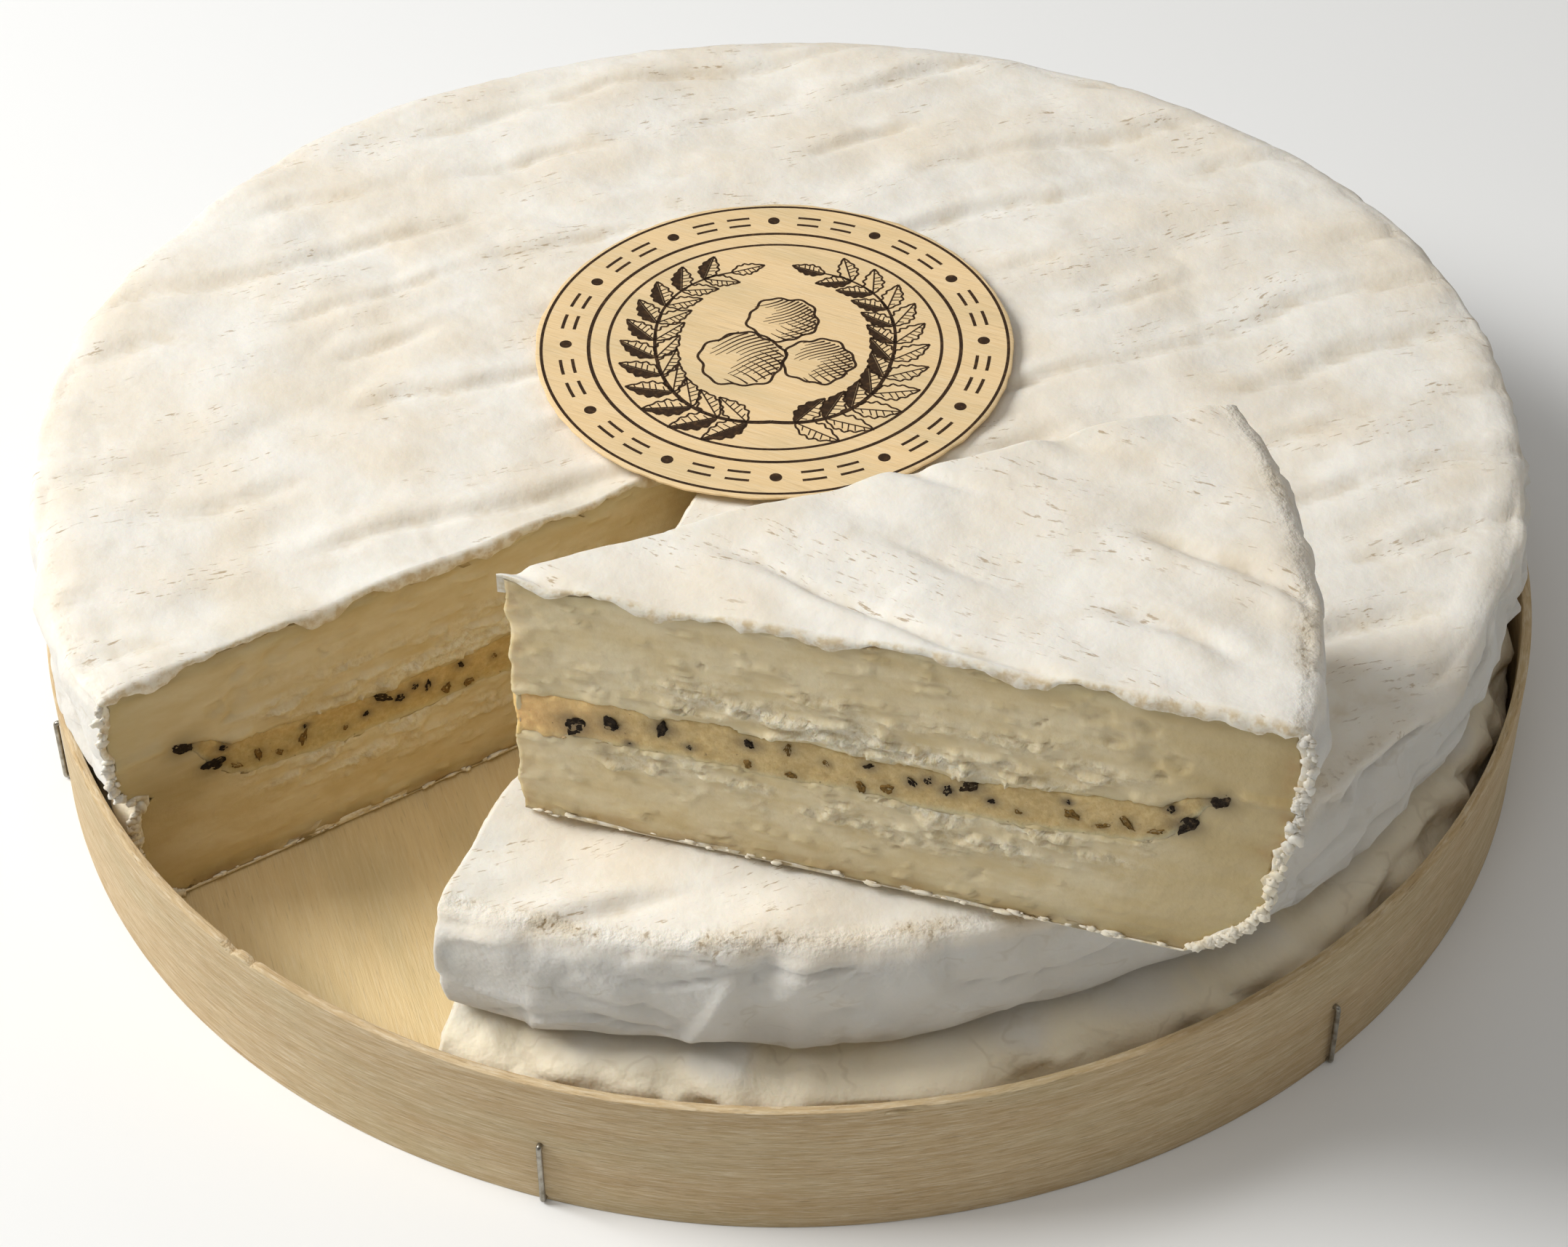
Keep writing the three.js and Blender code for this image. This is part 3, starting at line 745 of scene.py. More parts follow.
def build_hoop(material):
    sweep = 360 + SEAM_OVERLAP
    along = np.linspace(0, sweep, 760)
    angle = np.radians(SEAM_START + along)
    inner = HOOP_INNER + HOOP_CLIMB * smoothstep(360 - 25, 360, along)
    mm_in_a_degree = 1.79
    arc = along * mm_in_a_degree
    section = []  # (thickness share, height share) round the strip's section
    section += [(1, t) for t in np.linspace(0.02, 0.98, 22)]
    section += [(0.97, 0.995), (0.8, 1), (0.5, 1), (0.2, 1), (0.03, 0.995)]
    section += [(0, t) for t in np.linspace(0.98, 0.02, 12)]
    section += [(0.03, 0.004), (0.3, 0), (0.7, 0), (0.97, 0.004)]
    thick, high = np.array(section).T
    thick, high = thick[:, None], high[:, None]
    fibres = flat_noise(arc / 38, high * HOOP_HEIGHT / 0.55, 300)
    fibres = fibres + 0.6 * flat_noise(arc / 14, high * HOOP_HEIGHT / 0.3, 301)
    bow = 0.25 * flat_noise(arc / 60, high * 0.8, 302)
    edge = -0.22 - 0.22 * flat_noise(arc / 45, 0 * arc, 303)
    edge = edge - 0.1 * np.abs(flat_noise(arc / 2.1, 0 * arc, 304, 2))
    worn = np.degrees(angle) % 360
    tear = -0.9 * np.exp(-(((worn - 227) / 0.5) ** 2)) - 0.5 * np.exp(-(((worn - 229.2) / 0.35) ** 2))
    splinter = 0.75 * np.exp(-(((worn - 277) / 1.2) ** 2))
    z = high * (HOOP_HEIGHT + np.minimum(edge + tear, -0.02))
    near_edge = smoothstep(0.82, 1.0, high)
    outward = thick * HOOP_THICKNESS + (thick > 0.9) * (0.035 * fibres - 0.04) + bow - 0.25
    outward = outward - (thick > 0.9) * near_edge * 0.45 * splinter - (thick < 0.1) * 0.02 * fibres
    r = np.minimum(inner + outward, inner + HOOP_THICKNESS - 0.07)
    grid = np.stack([r * np.cos(angle), r * np.sin(angle), z + 0 * r], -1)
    rows, cols = grid.shape[:2]
    faces = grid_faces(rows + 1, cols)
    faces = np.where(faces >= rows * cols, faces - rows * cols, faces)
    ends = [np.arange(rows)[None, :] * cols, (np.arange(rows)[None, ::-1]) * cols + cols - 1]
    where = np.stack([arc + 0 * z, z, thick * 10 + 0 * z], -1)
    piece = make("tray_hoop", grid, [faces, *ends], material, {"spot": where.reshape(-1, 3)},
                 slot="veneer_hoop", nodes=["box_hoop"])
    mark_sharp(piece)
    # A few lifted hairs and one splinter along the upper edge.
    rng = np.random.default_rng(31)
    fibre_foot = 102.62
    parts = []
    for k in range(46):
        a = math.radians(rng.uniform(150, 400)) if k else math.radians(276)
        long, lift = (rng.uniform(1.5, 5.0), rng.uniform(0.1, 0.5)) if k else (13, 0.5)
        z0 = rng.choice([HOOP_HEIGHT - 0.6, rng.uniform(2, HOOP_HEIGHT - 1)]) if k else HOOP_HEIGHT - 1.0
        t = np.linspace(0, 1, 14)
        bearing = a + rng.choice([-1, 1]) * t * long / 103
        r = fibre_foot + 0.5 * lift * t**1.6 - (0 if k else 0.15)
        path = np.stack([r * np.cos(bearing), r * np.sin(bearing), z0 + rng.uniform(-0.4, 0.35) * t**1.5], -1)
        parts.append(tube(path, (0.05 if k else 0.28) * (1 - 0.75 * t), 5))
    points, polygons = merged(parts)
    make("hoop_fibres", points, polygons, material, {"spot": points}, slot="veneer_hoop", nodes=["box_hoop"])


def mark_sharp(piece):
    bpy.context.view_layer.objects.active = piece
    work = bmesh.new()
    work.from_mesh(piece.data)
    for e in work.edges:
        if len(e.link_faces) == 2 and e.calc_face_angle(0) > SHARP:
            e.smooth = False
    work.to_mesh(piece.data)
    work.free()


def tube(path, radius, sides):
    """A closed round wire along a path; its radius may vary along it."""
    path = np.asarray(path, float)
    radius = np.broadcast_to(radius, len(path))
    tangent = np.gradient(path, axis=0)
    tangent /= np.linalg.norm(tangent, axis=1, keepdims=True)
    side = np.cross(tangent[0], [0.31, 0.52, 0.79])
    rings = []
    for p, t, r in zip(path, tangent, radius):
        side = side - t * (side @ t)
        side /= np.linalg.norm(side)
        other = np.cross(t, side)
        a = np.linspace(0, 2 * math.pi, sides, endpoint=False)[:, None]
        rings.append(p + r * (np.cos(a) * side + np.sin(a) * other))
    points = np.concatenate(rings)
    n = len(path)
    caps = [np.arange(sides)[None, ::-1], (n - 1) * sides + np.arange(sides)[None, :]]
    return points, [grid_faces(n, sides, wrap=True), *caps]


def bent(points):
    """A path in even steps through the points, with its corners rounded."""
    points = np.array(points, float)
    length = np.concatenate([[0], np.cumsum(np.linalg.norm(np.diff(points, axis=0), axis=1))])
    even = np.linspace(0, length[-1], int(length[-1] / WIRE_STEP))
    path = np.stack([np.interp(even, length, points[:, k]) for k in range(3)], -1)
    for _ in range(WIRE_ROUNDING):
        path[1:-1] = (path[:-2] + 2 * path[1:-1] + path[2:]) / 4
    return path


def turned(p, degrees):
    a = math.radians(degrees)
    c, s = math.cos(a), math.sin(a)
    q = np.array(p, float)
    q[..., 0] = p[..., 0] * c - p[..., 1] * s
    q[..., 1] = p[..., 0] * s + p[..., 1] * c
    return q


def build_staples(material):
    inside, outside = HOOP_INNER - 2 * WIRE, HOOP_INNER + HOOP_THICKNESS + 0.75 * WIRE
    foot = BASE_RADIUS - 6
    loop = [(inside, 0, 7.5), (inside, 0, 10.5), (outside, 0, 10.5), (outside, 0, 0.55), (foot, 0, 0.55),
            (foot, 0, 1.15)]
    for k, angle in enumerate(STAPLE_ANGLES):
        points, faces = tube(turned(bent(loop), angle), WIRE, 14)
        make(f"staple_{k + 1}", points, faces, material, {"spot": points}, slot="staple_wire",
             nodes=[f"hoop_staple_{k + 1}"])
    outside += HOOP_CLIMB
    for k, z in enumerate(SEAM_STAPLE_HEIGHTS):
        loop = [(inside, -4, z + 2), (inside, -4, z), (outside, -4, z), (outside, 4, z), (inside, 4, z),
                (inside, 4, z + 2)]
        points, faces = tube(turned(bent(loop), SEAM_START + SEAM_OVERLAP / 2), WIRE, 14)
        make(f"lap_staple_{k + 1}", points, faces, material, {"spot": points}, slot="staple_wire",
             nodes=[f"seam_staple_{k + 1}"])


def disc(radius, bottom, top, rings, spokes, lift=None):
    """A closed disc; lift(x, y) is added to the height of all its points."""
    r = np.concatenate([np.linspace(0, radius - 0.15, rings), [radius, radius],
                        np.linspace(radius - 0.15, 0, rings)])
    z = np.concatenate([np.full(rings, bottom), [bottom + 0.12, top - 0.12], np.full(rings, top)])
    a = np.linspace(0, 2 * math.pi, spokes, endpoint=False)[None, :]
    x, y = r[:, None] * np.cos(a), r[:, None] * np.sin(a)
    height = z[:, None] + (lift(x, y) if lift else 0 * x)
    return np.stack([x, y, height], -1), [grid_faces(len(r), spokes, wrap=True)]


def label_lift(x, y):
    r = np.hypot(x, y) / LABEL_RADIUS
    warp = 0.14 * (1 + flat_noise(x / 26, y / 26, 400))
    return warp + 0.22 * r**3 * (1 + np.cos(2 * np.arctan2(y, x) - 0.6)) * 0.5


def ribbon(path, width):
    """A thin printed line on the label, along a path of x, y points."""
    path = np.asarray(path, float)
    width = np.broadcast_to(width, len(path))[:, None]
    t = np.gradient(path, axis=0)
    t /= np.maximum(np.linalg.norm(t, axis=1, keepdims=True), 1e-9)
    side = np.stack([-t[:, 1], t[:, 0]], -1) * width / 2
    return shape_of(np.concatenate([path + side, (path - side)[::-1]]), strip=len(path))


def shape_of(outline, strip=0):
    """A thin solid print of an outline. A strip's two long sides are joined by quads."""
    n = len(outline)
    top = LABEL_BOTTOM + LABEL_THICKNESS + label_lift(outline[:, 0], outline[:, 1])
    upper = np.concatenate([outline, (top + 0.03)[:, None]], 1)
    lower = np.concatenate([outline, (top - 0.08)[:, None]], 1)
    if strip:
        i = np.arange(strip - 1)
        up = np.stack([i, n - 1 - i, n - 2 - i, i + 1], -1)
        caps = [up, up[:, ::-1] + n]
    else:
        caps = [np.arange(n)[None, :], n + np.arange(n)[None, ::-1]]
    i = np.arange(n)
    sides = np.stack([i, i + n, (i + 1) % n + n, (i + 1) % n], -1)
    return np.concatenate([upper, lower]), [*caps, sides]


def build_label(veneer, ink):
    def nicked(points):
        r = np.hypot(points[..., 0], points[..., 1])
        a = np.arctan2(points[..., 1], points[..., 0])
        nick = 0.25 * flat_noise(np.cos(a) * 9, np.sin(a) * 9, 401, 2)
        nick = nick * smoothstep(LABEL_RADIUS - 2, LABEL_RADIUS, r)
        points[..., :2] *= (1 + (nick - 0.15 * (r > LABEL_RADIUS - 1)) / np.maximum(r, 1))[..., None]
        return points

    points, faces = disc(LABEL_RADIUS, LABEL_BOTTOM, LABEL_BOTTOM + LABEL_THICKNESS, 40, 220, label_lift)
    points = nicked(points)
    where = points.copy()
    points[..., :2] += LABEL_CENTRE
    piece = make("label_disc", points, faces, veneer, {"spot": where.reshape(-1, 3)}, slot="label_veneer",
                 nodes=["label"])
    mark_sharp(piece)
    parts = []
    turn = np.linspace(0, 2 * math.pi, 181)
    for share, width in ((0.972, 0.42), (0.775, 0.5), (0.695, 0.42)):
        ring = LABEL_RADIUS * share * np.stack([np.cos(turn), np.sin(turn)], -1)
        parts.append(ribbon(ring, width))
    for k in range(36):  # a plain border of beads and dashes
        a = 2 * math.pi * k / 36
        middle = LABEL_RADIUS * 0.87 * np.array([math.cos(a), math.sin(a)])
        if k % 3 == 0:
            t = np.linspace(0, 2 * math.pi, 20, endpoint=False)[:, None]
            parts.append(shape_of(middle + 0.85 * np.concatenate([np.cos(t), np.sin(t)], 1)))
        else:
            t = np.linspace(-0.055, 0.055, 8)[:, None] + a
            for r, width in ((0.895, 0.45), (0.845, 0.45)):
                parts.append(ribbon(LABEL_RADIUS * r * np.concatenate([np.cos(t), np.sin(t)], 1), width))
    parts += sprig()
    points, faces = merged(parts)
    points[:, :2] += LABEL_CENTRE
    make("label_print", points, faces, ink, {"spot": points}, smooth=False, slot="label_ink", nodes=["label"])


def leaf(foot, bearing, long, solid):
    """A toothed leaf with its veins."""
    along = np.array([math.cos(bearing), math.sin(bearing)])
    over = np.array([-math.sin(bearing), math.cos(bearing)])
    u = np.linspace(0, 1, 24)[:, None]
    wide = 0.24 * long * np.sin(math.pi * u**0.8) * (1 + 0.14 * np.sin(u * 30))
    mid = foot + along * (u * long)
    sides = [mid + edge * over * wide for edge in (-1, 1)]
    parts = [ribbon(mid, 0.22), ribbon(sides[0], 0.3), ribbon(sides[1], 0.3)]
    if solid:
        parts.append(shape_of(np.concatenate([mid[1:-1] + over * 0.16, sides[1][1:-1][::-1]])))
    for v in np.linspace(0.2, 0.8, 5):
        at, reach_out = mid[int(v * 23)], wide[int(v * 23)]
        parts.append(ribbon(np.linspace(at, at - over * reach_out * 0.85 + along * 0.06 * long, 4), 0.17))
    return parts


def truffle_print(x, y, r, spin):
    """A knobbly round with cross-hatched shade on one side."""
    a = np.linspace(0, 2 * math.pi, 90)[:, None]
    wobble = r * (1 + 0.05 * np.sin(5 * a + spin) + 0.035 * np.sin(11 * a - spin))
    parts = [ribbon(np.array([x, y]) + wobble * np.concatenate([np.cos(a), np.sin(a)], 1), 0.38)]
    for slope in (0.5, -0.7):
        c, s = math.cos(slope), math.sin(slope)
        for w in np.linspace(-0.88, 0.88, 15 if slope > 0 else 9):
            half = math.sqrt(1 - w * w) * 0.93
            first = -0.25 + 0.3 * math.sin(7 * w + spin) if slope > 0 else 0.15
            if first < half:
                u = np.linspace(first, half, 10)
                across = w + 0.07 * np.sin(3 * u + spin)
                line = np.stack([x + r * (u * c - across * s), y + r * (u * s + across * c)], -1)
                parts.append(ribbon(line, np.linspace(0.08, 0.3, 10)))
    return parts


def sprig():
    """A plain wreath of two leafy twigs round three truffles."""
    parts = []
    for side in (-1, 1):
        t = np.linspace(0, 1, 60)
        a = math.radians(-92) + side * math.radians(158) * t
        r = 17.4 + 0.7 * np.sin(9 * t)
        twig = np.stack([r * np.cos(a), r * np.sin(a)], -1)
        parts.append(ribbon(twig, 0.7 - 0.4 * t))
        for k in range(11):
            i = 4 + 5 * k
            heading = a[i] + side * math.pi / 2
            long = 7.2 - 0.16 * k
            parts += leaf(twig[i], heading - side * 0.75, long, solid=side < 0)
            parts += leaf(twig[i], heading + side * 0.75, long * 0.92, solid=side > 0)
        parts += leaf(twig[-1], a[-1] + side * math.pi / 2, 5.0, solid=side > 0)
    parts += truffle_print(-4.6, -3.6, 5.9, 0.4)
    parts += truffle_print(6.0, -4.2, 4.9, 2.1)
    parts += truffle_print(1.2, 5.4, 4.9, 3.9)
    return parts


def build_base(material):
    points, faces = disc(BASE_RADIUS, 0.02, BASE_THICKNESS, 46, 200)
    x, y = points[..., 0], points[..., 1]
    c, s = 0.956, 0.292  # the grain runs 17 degrees off the Y axis
    grain = flat_noise((x * c + y * s) / 0.9, (y * c - x * s) / 40, 500)
    points[..., 2] += np.where(points[..., 2] > 1, 0.05 * grain - 0.05, 0)
    piece = make("tray_base", points, faces, material, {"spot": points.reshape(-1, 3)}, slot="veneer_base",
                 nodes=["box_base"])
    mark_sharp(piece)


# ---- materials -----------------------------------------------------------------------------------------

class Paint:
    """A procedural material, built node by node."""

    def __init__(self, name, roughness, scatter=0.0, scatter_radius=(1, 0.6, 0.3), specular=0.35,
                 metallic=0.0):
        self.material = bpy.data.materials.new(name)
        self.material.use_nodes = True
        self.tree = self.material.node_tree
        self.shader = next(n for n in self.tree.nodes if n.type == "BSDF_PRINCIPLED")
        self.set(self.shader, "Roughness", roughness)
        self.set(self.shader, "Specular IOR Level", specular)
        self.set(self.shader, "Metallic", metallic)
        if scatter:
            self.set(self.shader, "Subsurface Weight", scatter)
            self.set(self.shader, "Subsurface Radius", scatter_radius)
            self.set(self.shader, "Subsurface Scale", MM)

    def set(self, node, key, value):
        socket = node.inputs[key]
        if isinstance(value, bpy.types.NodeSocket):
            self.tree.links.new(value, socket)
        else:
            socket.default_value = value

    def node(self, kind, out, inputs=(), **settings):
        node = self.tree.nodes.new(kind)
        for key, value in settings.items():
            setattr(node, key, value)
        for key, value in dict(inputs).items():
            self.set(node, key, value)
        return node.outputs[out]

    def mark(self, name, out="Fac"):
        return self.node("ShaderNodeAttribute", out, attribute_name=name)

    def spot(self):
        return self.mark("spot", "Vector")

    def scaled(self, vector, size):
        """The vector in features of the given sizes in mm."""
        return self.node("ShaderNodeMapping", "Vector",
                         {"Vector": vector, "Scale": tuple(1 / s for s in size)})

    def turned(self, vector, angle):
        return self.node("ShaderNodeMapping", "Vector", {"Vector": vector, "Rotation": (0, 0, angle)})

    def noise(self, vector, size, detail=3.0, rough=0.55, distortion=0.0):
        return self.node("ShaderNodeTexNoise", "Fac", {
            "Vector": vector, "Scale": 1 / size, "Detail": detail, "Roughness": rough,
            "Distortion": distortion})

    def step(self, value, low, high, start=0.0, end=1.0):
        return self.node("ShaderNodeMapRange", "Result", {
            "Value": value, "From Min": low, "From Max": high, "To Min": start, "To Max": end},
            interpolation_type="SMOOTHSTEP")

    def math(self, operation, a, b=0.0):
        return self.node("ShaderNodeMath", 0, {0: a, 1: b}, operation=operation)

    def times(self, a, b):
        return self.math("MULTIPLY", a, b)

    def plus(self, a, b):
        return self.math("ADD", a, b)

    def mix(self, amount, a, b):
        return self.node("ShaderNodeMixRGB", 0, {"Fac": amount, "Color1": a, "Color2": b})

    def finish(self, colour, height=None, depth=0.1, strength=1.0, roughness=None):
        self.set(self.shader, "Base Color", colour)
        if height is not None:
            inputs = {"Strength": strength, "Distance": depth * MM, "Height": height}
            bump = self.node("ShaderNodeBump", "Normal", inputs)
            self.set(self.shader, "Normal", bump)
        if roughness is not None:
            self.set(self.shader, "Roughness", roughness)
        return self.material


def rind_paint():
    m = Paint("rind_bloom", 0.85, 0.2, (2.2, 1.5, 0.9), specular=0.12)
    m.set(m.shader, "Sheen Weight", 0.12)
    m.set(m.shader, "Sheen Roughness", 0.6)
    spot, lane = m.spot(), m.mark("lane", "Vector")
    inside, furrow, rim, above = (m.mark(name) for name in ("inside", "furrow", "rim", "above"))
    height_up = m.node("ShaderNodeSeparateXYZ", "Z", {"Vector": spot})
    patches = m.step(m.noise(spot, 16, 3), 0.35, 0.7)
    colour = m.mix(patches, lin(238, 233, 222), lin(232, 222, 204))
    colour = m.mix(m.step(m.noise(spot, 5, 3, 0.6), 0.45, 0.75, 0, 0.35), colour, lin(224, 212, 190))
    # The mat's furrows are tinted grey-brown: partly the straws' brown marks, partly painted shade in the
    # grooves.
    colour = m.mix(m.times(furrow, m.step(m.noise(spot, 5, 3, 0.6), 0.35, 0.7, 0, 0.4)), colour,
                   lin(196, 176, 142))
    side = m.step(m.plus(above, inside), 0.7, 0.0)
    # Painted shade: the side walls are tinted greyer than the top, as sides in shade look.
    colour = m.mix(m.times(side, 0.55), colour, lin(204, 202, 196))
    veins = m.noise(m.scaled(spot, (15, 15, 9)), 1.0, 3, 0.6)
    veins = m.step(m.math("ABSOLUTE", m.math("SUBTRACT", veins, 0.5)), 0.02, 0.003)
    veins = m.times(veins, m.times(side, m.step(m.noise(spot, 7, 2), 0.48, 0.62)))
    # Painted light: below the fold the rind is painted a brighter, warmer cream, standing for warm light
    # bounced from the wooden hoop.
    colour = m.mix(m.step(height_up, 22.5, 20.0, 0.0, 0.8), colour, lin(252, 238, 208))
    colour = m.mix(m.times(veins, 0.2), colour, lin(176, 158, 126))
    # Short brown dashes in rows where the mat's straws lay.
    dash = m.step(m.noise(m.scaled(lane, (2.6, 0.6, 6)), 1.0, 3, 0.65), 0.58, 0.66)
    dash = m.times(dash, m.step(m.noise(m.scaled(lane, (15, 6, 30)), 1.0, 2), 0.52, 0.64))
    colour = m.mix(m.times(m.times(dash, above), 0.7), colour, lin(164, 138, 100))
    specks = m.step(m.noise(spot, 0.8, 2, 0.5), 0.55, 0.66)
    worn = m.times(rim, m.step(m.noise(spot, 9, 4, 0.7), 0.46, 0.62))
    colour = m.mix(m.times(worn, 0.6), colour, lin(204, 186, 152))
    colour = m.mix(m.times(m.times(worn, specks), 0.8), colour, lin(140, 112, 70))
    stains = m.times(m.step(m.noise(spot, 11, 5, 0.72), 0.68, 0.78), m.step(m.noise(spot, 1.2, 3), 0.4, 0.6))
    colour = m.mix(m.times(stains, 0.3), colour, lin(206, 186, 152))
    crust = m.mix(m.step(m.noise(spot, 1.8, 3, 0.65), 0.4, 0.65), lin(238, 230, 212), lin(206, 184, 142))
    colour = m.mix(m.times(inside, 0.8), colour, crust)
    fuzz = m.noise(spot, 0.5, 3, 0.7)
    height = m.plus(m.times(m.noise(spot, 2.2, 3, 0.5), 1.0), m.times(fuzz, 0.16))
    height = m.plus(height, m.times(rim, m.times(m.noise(spot, 1.3, 3, 0.6), 3.0)))
    height = m.plus(height, m.times(side, m.times(m.noise(spot, 3.4, 3, 0.6), 2.2)))
    return m.finish(colour, height, depth=0.3, strength=0.6)


def paste_paint():
    m = Paint("paste_cut", 0.45, 0.2, (2.4, 1.5, 0.7), specular=0.35)
    spot = m.spot()
    chalky, deep, rim = m.mark("chalk"), m.mark("deep"), m.mark("rim")
    clouds = m.noise(m.scaled(spot, (9, 4, 9)), 1.0, 3, 0.6)
    colour = m.mix(m.step(clouds, 0.3, 0.7), lin(224, 208, 170), lin(212, 191, 144))
    near_rim = m.step(rim, 26, 6)
    colour = m.mix(m.times(near_rim, 0.7), colour, lin(188, 166, 116))
    olive = m.times(m.step(deep, 5.5, 0.8), m.step(m.noise(m.scaled(spot, (12, 5, 12)), 1.0, 2), 0.35, 0.65))
    colour = m.mix(m.times(olive, 0.6), colour, lin(168, 140, 84))
    line = m.times(m.step(deep, 2.6, 1.0), m.step(m.noise(spot, 4, 3), 0.35, 0.65))
    colour = m.mix(m.times(line, 0.5), colour, lin(176, 140, 92))
    crumbs = m.noise(spot, 0.9, 4, 0.7)
    white = m.times(chalky, m.step(crumbs, 0.3, 0.62))
    colour = m.mix(m.times(white, 0.85), colour, lin(244, 236, 214))
    colour = m.mix(m.times(m.mark("grey"), 0.7), colour, lin(118, 102, 76))
    height = m.plus(m.times(m.times(crumbs, chalky), 1.0),
                    m.times(m.noise(spot, 1.1, 3), 0.22))
    rough = m.step(chalky, 0.0, 0.6, 0.4, 0.8)
    return m.finish(colour, height, depth=0.5, strength=0.8, roughness=rough)


def filling_paint():
    m = Paint("filling_cream", 0.5, 0.25, (2.0, 1.1, 0.5), specular=0.4)
    spot = m.spot()
    parts = m.node("ShaderNodeSeparateXYZ", "X", {"Vector": spot})
    grain = m.noise(spot, 0.8, 4, 0.7)
    colour = m.mix(m.step(grain, 0.3, 0.7), lin(202, 172, 112), lin(218, 192, 136))
    blots = m.step(m.noise(spot, 2.6, 3, 0.6), 0.45, 0.7)
    colour = m.mix(m.times(blots, 0.5), colour, lin(178, 146, 84))
    colour = m.mix(m.step(m.mark("from_low"), 1.6, 0.2, 0.0, 0.8), colour, lin(222, 204, 160))
    tip = m.times(m.step(parts, 20, 2), 0.9)
    colour = m.mix(tip, colour, lin(244, 200, 132))
    pepper = m.step(m.noise(spot, 1.0, 2, 0.5), 0.69, 0.76)
    colour = m.mix(m.times(pepper, 0.6), colour, lin(120, 90, 50))
    colour = m.mix(m.times(m.mark("grey"), 0.85), colour, lin(92, 78, 58))
    return m.finish(colour, m.noise(spot, 1.1, 4, 0.65), depth=0.3, strength=0.7)


def truffle_paint():
    m = Paint("truffle_black", 0.65, specular=0.1)
    spot, tone = m.spot(), m.mark("tone")
    vein = m.step(m.noise(spot, 0.6, 3, 0.7), 0.5, 0.72)
    colour = m.mix(m.step(tone, 0.3, 0.9), lin(42, 33, 24), lin(134, 104, 54))
    colour = m.mix(m.times(vein, 0.45), colour, lin(120, 100, 72))
    return m.finish(colour, m.noise(spot, 0.5, 3, 0.7), depth=0.3, strength=0.8)


def veneer_paint(name, light, dark, sizes, turn=0.0, streaky=1.0):
    """Wood: sizes are the fibres' length and width in mm, along the spot's X and Y."""
    m = Paint(name, 0.7, specular=0.2)
    spot = m.turned(m.spot(), turn) if turn else m.spot()
    long, wide = sizes
    fibres = m.noise(m.scaled(spot, (long, wide, 4)), 1.0, 4, 0.65, 0.3)
    fine = m.noise(m.scaled(spot, (long / 2.5, wide / 2, 3)), 1.0, 3, 0.6)
    bands = m.noise(m.scaled(spot, (long * 5, wide * 8, 9)), 1.0, 3, 0.6)
    clouds = m.noise(m.scaled(spot, (30, 9, 20)), 1.0, 3)
    colour = m.mix(m.step(fibres, 0.3, 0.72, 0, 0.8 * streaky), light, dark)
    colour = m.mix(m.step(bands, 0.4, 0.72, 0, 0.45 * streaky), colour, dark)
    colour = m.mix(m.step(clouds, 0.4, 0.75, 0, 0.35), colour, lin(188, 176, 136))
    pores = m.step(m.noise(m.scaled(spot, (long / 2, wide / 1.6, 2)), 1.0, 3, 0.6), 0.58, 0.7)
    colour = m.mix(m.times(pores, 0.5 * streaky), colour, tuple(0.5 * c for c in dark[:3]) + (1,))
    colour = m.mix(m.step(fine, 0.45, 0.75, 0.0, 0.45 * streaky), colour, lin(244, 232, 206))
    height = m.plus(m.times(fine, 0.8), m.times(fibres, 0.6))
    return m.finish(colour, height, depth=0.28, strength=0.9 * streaky)


def wire_paint():
    m = Paint("staple_steel", 0.38, metallic=1.0, specular=0.5)
    dull = m.noise(m.spot(), 1.6, 3, 0.6)
    colour = m.mix(m.step(dull, 0.3, 0.75), lin(176, 172, 162), lin(120, 112, 98))
    return m.finish(colour, dull, depth=0.03, strength=0.4)


def ink_paint():
    m = Paint("label_ink", 0.7, specular=0.2)
    uneven = m.noise(m.spot(), 0.8, 3, 0.6)
    return m.finish(m.mix(m.step(uneven, 0.45, 0.85), lin(54, 38, 24), lin(96, 70, 44)))


# ---- camera, light and floor ---------------------------------------------------------------------------

def place_camera():
    rise, back, roll = math.radians(42.2), 500.0, math.radians(-0.57)
    x, z = -0.7, 6.6
    up = np.array([0, math.sin(rise), math.cos(rise)])
    right = np.array([1, 0, 0]) * math.cos(roll) + up * math.sin(roll)
    up = np.cross(right, [0, math.cos(rise), -math.sin(rise)])
    behind = np.array([0, -math.cos(rise), math.sin(rise)])
    data = bpy.data.cameras.new("camera")
    data.sensor_width, data.lens = 36, 80.43
    data.clip_start, data.clip_end = 0.01, 20
    camera = bpy.data.objects.new("camera", data)
    turn = Matrix([[right[i], up[i], behind[i]] for i in range(3)]).to_4x4()
    place = np.array([x, 0, z]) + back * behind
    camera.matrix_world = Matrix.Translation([float(c) * MM for c in place]) @ turn
    bpy.context.scene.collection.objects.link(camera)
    bpy.context.scene.camera = camera


def area_light(name, azimuth, elevation, distance, size, power):
    a, e = math.radians(azimuth), math.radians(elevation)
    toward = np.array([math.cos(a) * math.cos(e), math.sin(a) * math.cos(e), math.sin(e)])
    data = bpy.data.lights.new(name, "AREA")
    data.shape, data.size, data.energy = "SQUARE", size, power
    light = bpy.data.objects.new(name, data)
    light.location = toward * distance
    light.rotation_mode = "QUATERNION"
    light.rotation_quaternion = (-light.location).to_track_quat("-Z", "Y")
    bpy.context.scene.collection.objects.link(light)


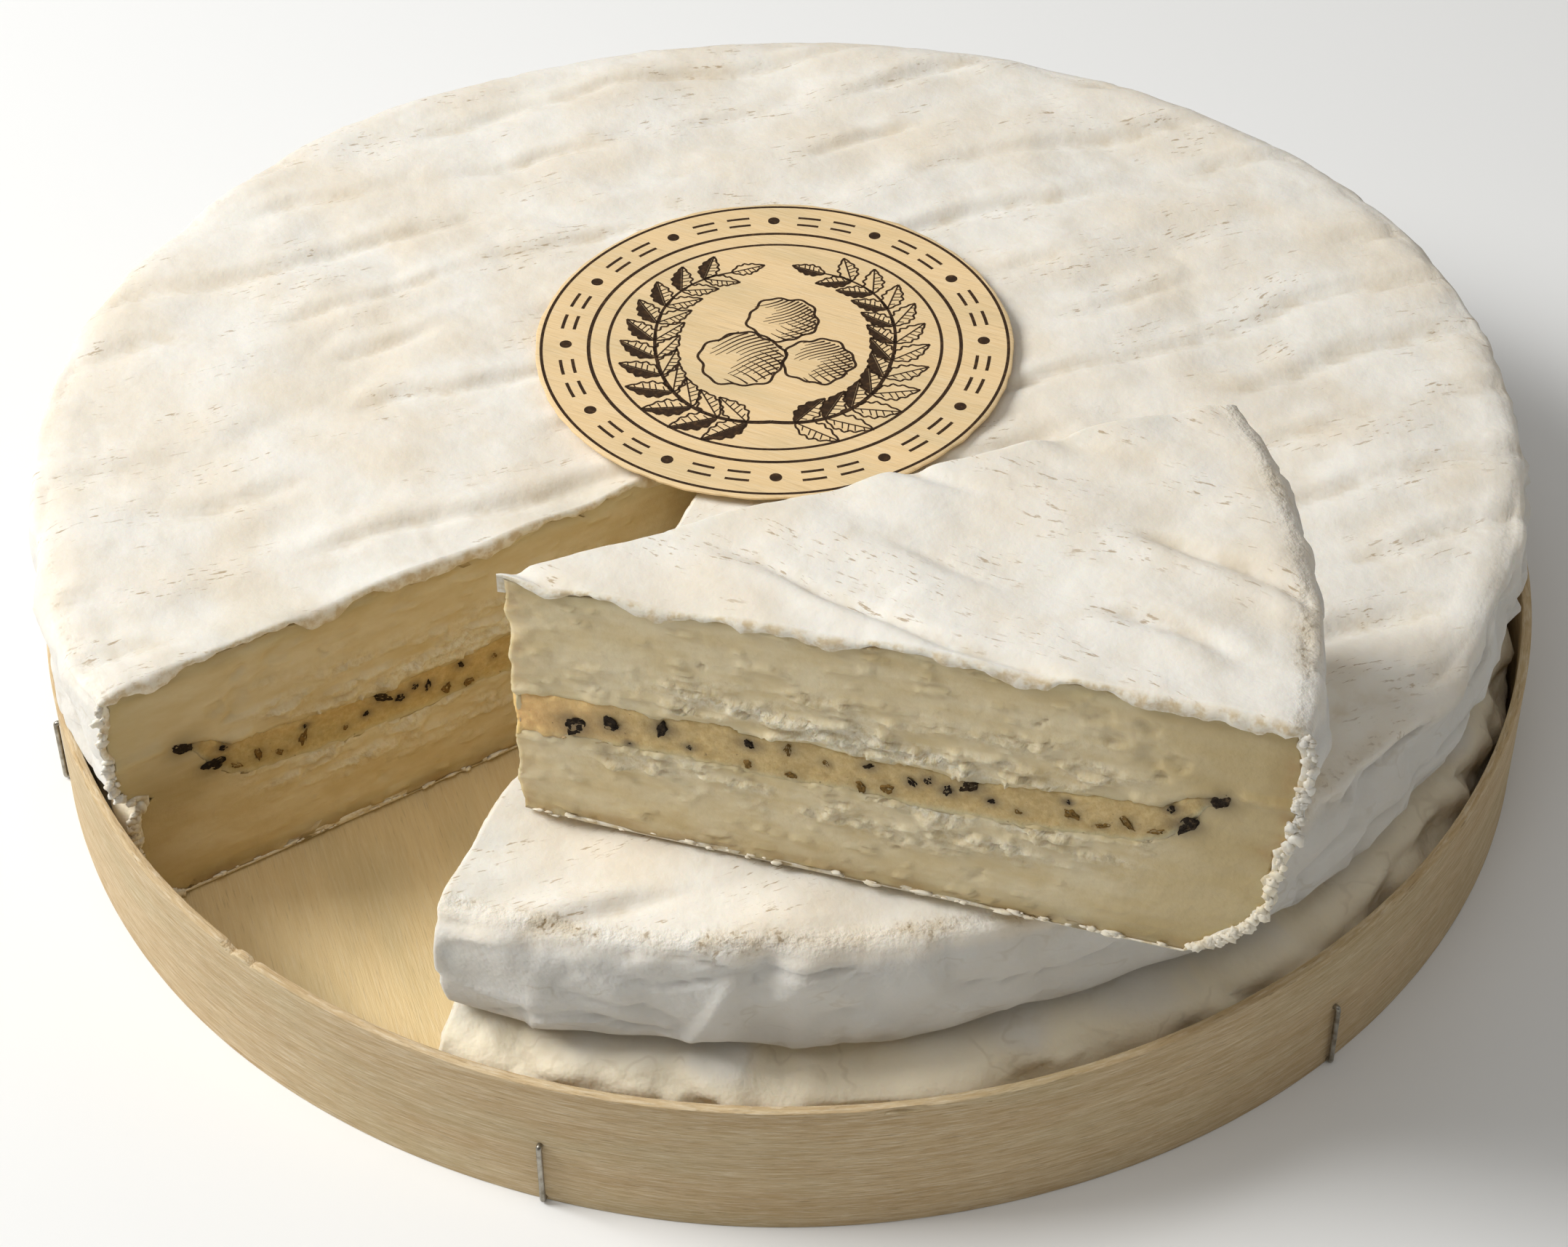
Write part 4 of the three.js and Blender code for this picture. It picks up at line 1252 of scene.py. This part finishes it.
def set_the_stage():
    scene = bpy.context.scene
    scene.view_settings.view_transform = "Standard"
    world = bpy.data.worlds.new("studio")
    world.use_nodes = True
    background = next(n for n in world.node_tree.nodes if n.type == "BACKGROUND")
    background.inputs["Color"].default_value = (1.0, 0.98, 0.95, 1)
    background.inputs["Strength"].default_value = 0.14
    scene.world = world
    area_light("key", 175, 42, 1.1, 0.5, 12.0)
    area_light("top", 240, 71, 1.2, 0.9, 2.9)
    area_light("right", 352, 32, 1.2, 0.9, 1.2)
    floor_paint = Paint("floor_matt", 0.9, specular=0.1)
    shade = floor_paint.noise(floor_paint.node("ShaderNodeTexCoord", "Object"), 0.4, 2)
    material = floor_paint.finish(floor_paint.mix(shade, lin(243, 243, 241), lin(240, 240, 238)))
    side = 1500
    corners = [(-side, -side, 0), (side, -side, 0), (side, side, 0), (-side, side, 0)]
    make("floor", corners, [np.array([[0, 1, 2, 3]])], material, smooth=False)


# ---- the scene -----------------------------------------------------------------------------------------

place_camera()
set_the_stage()

rind, paste, filling, truffle = rind_paint(), paste_paint(), filling_paint(), truffle_paint()
middle = (CUT_START + CUT_END) / 2
slice_apex = APEX + KERF_SHIFT * np.array([math.cos(middle), math.sin(middle)])
full = CUT_START + 2 * math.pi

build_rind("wheel_rind", APEX, CUT_END, full, CHEESE_SIDE, 356, rind, (600, 620), "cheese_wheel")
build_paste("wheel_paste", APEX, CUT_END, full, CHEESE_SIDE, (1, 0), 44, paste, "cheese_wheel")
build_filling("wheel_cream", APEX, CUT_END, full, (1, 0), 44, filling, "wheel_filling")
build_truffle("wheel_truffle", APEX, CUT_END, full, (1, 0), truffle, "wheel_filling")

build_crumbs("wheel_crumbs", APEX, CUT_START, 1, CHEESE_SIDE, 21, rind, "cheese_wheel")

moved = {"move": laid, "shape": slice_shape}
build_rind("slice_rind", slice_apex, CUT_START, CUT_END, SLICE_SIDE, 96, rind, (640, 660), "cheese_slice",
           **moved)
build_paste("slice_paste", slice_apex, CUT_START, CUT_END, SLICE_SIDE, (0, 1), 10, paste, "cheese_slice",
            **moved)
build_filling("slice_cream", slice_apex, CUT_START, CUT_END, (0, 1), 10, filling, "slice_filling", **moved)
build_truffle("slice_truffle", slice_apex, CUT_START, CUT_END, (0, 1), truffle, "slice_filling", **moved)
build_crumbs("slice_crumbs", slice_apex, CUT_START, -1, SLICE_SIDE, 22, rind, "cheese_slice", **moved)

build_hoop(veneer_paint("hoop_veneer", lin(218, 195, 156), lin(186, 155, 110), (7, 0.34)))
base_turn, label_turn = math.radians(73), math.radians(25)
build_base(veneer_paint("base_veneer", lin(236, 214, 166), lin(220, 192, 140), (9, 0.5), base_turn, 0.55))
build_staples(wire_paint())
label_wood = veneer_paint("label_wood", lin(240, 210, 162), lin(226, 192, 138), (10, 0.5), label_turn, 0.5)
build_label(label_wood, ink_paint())
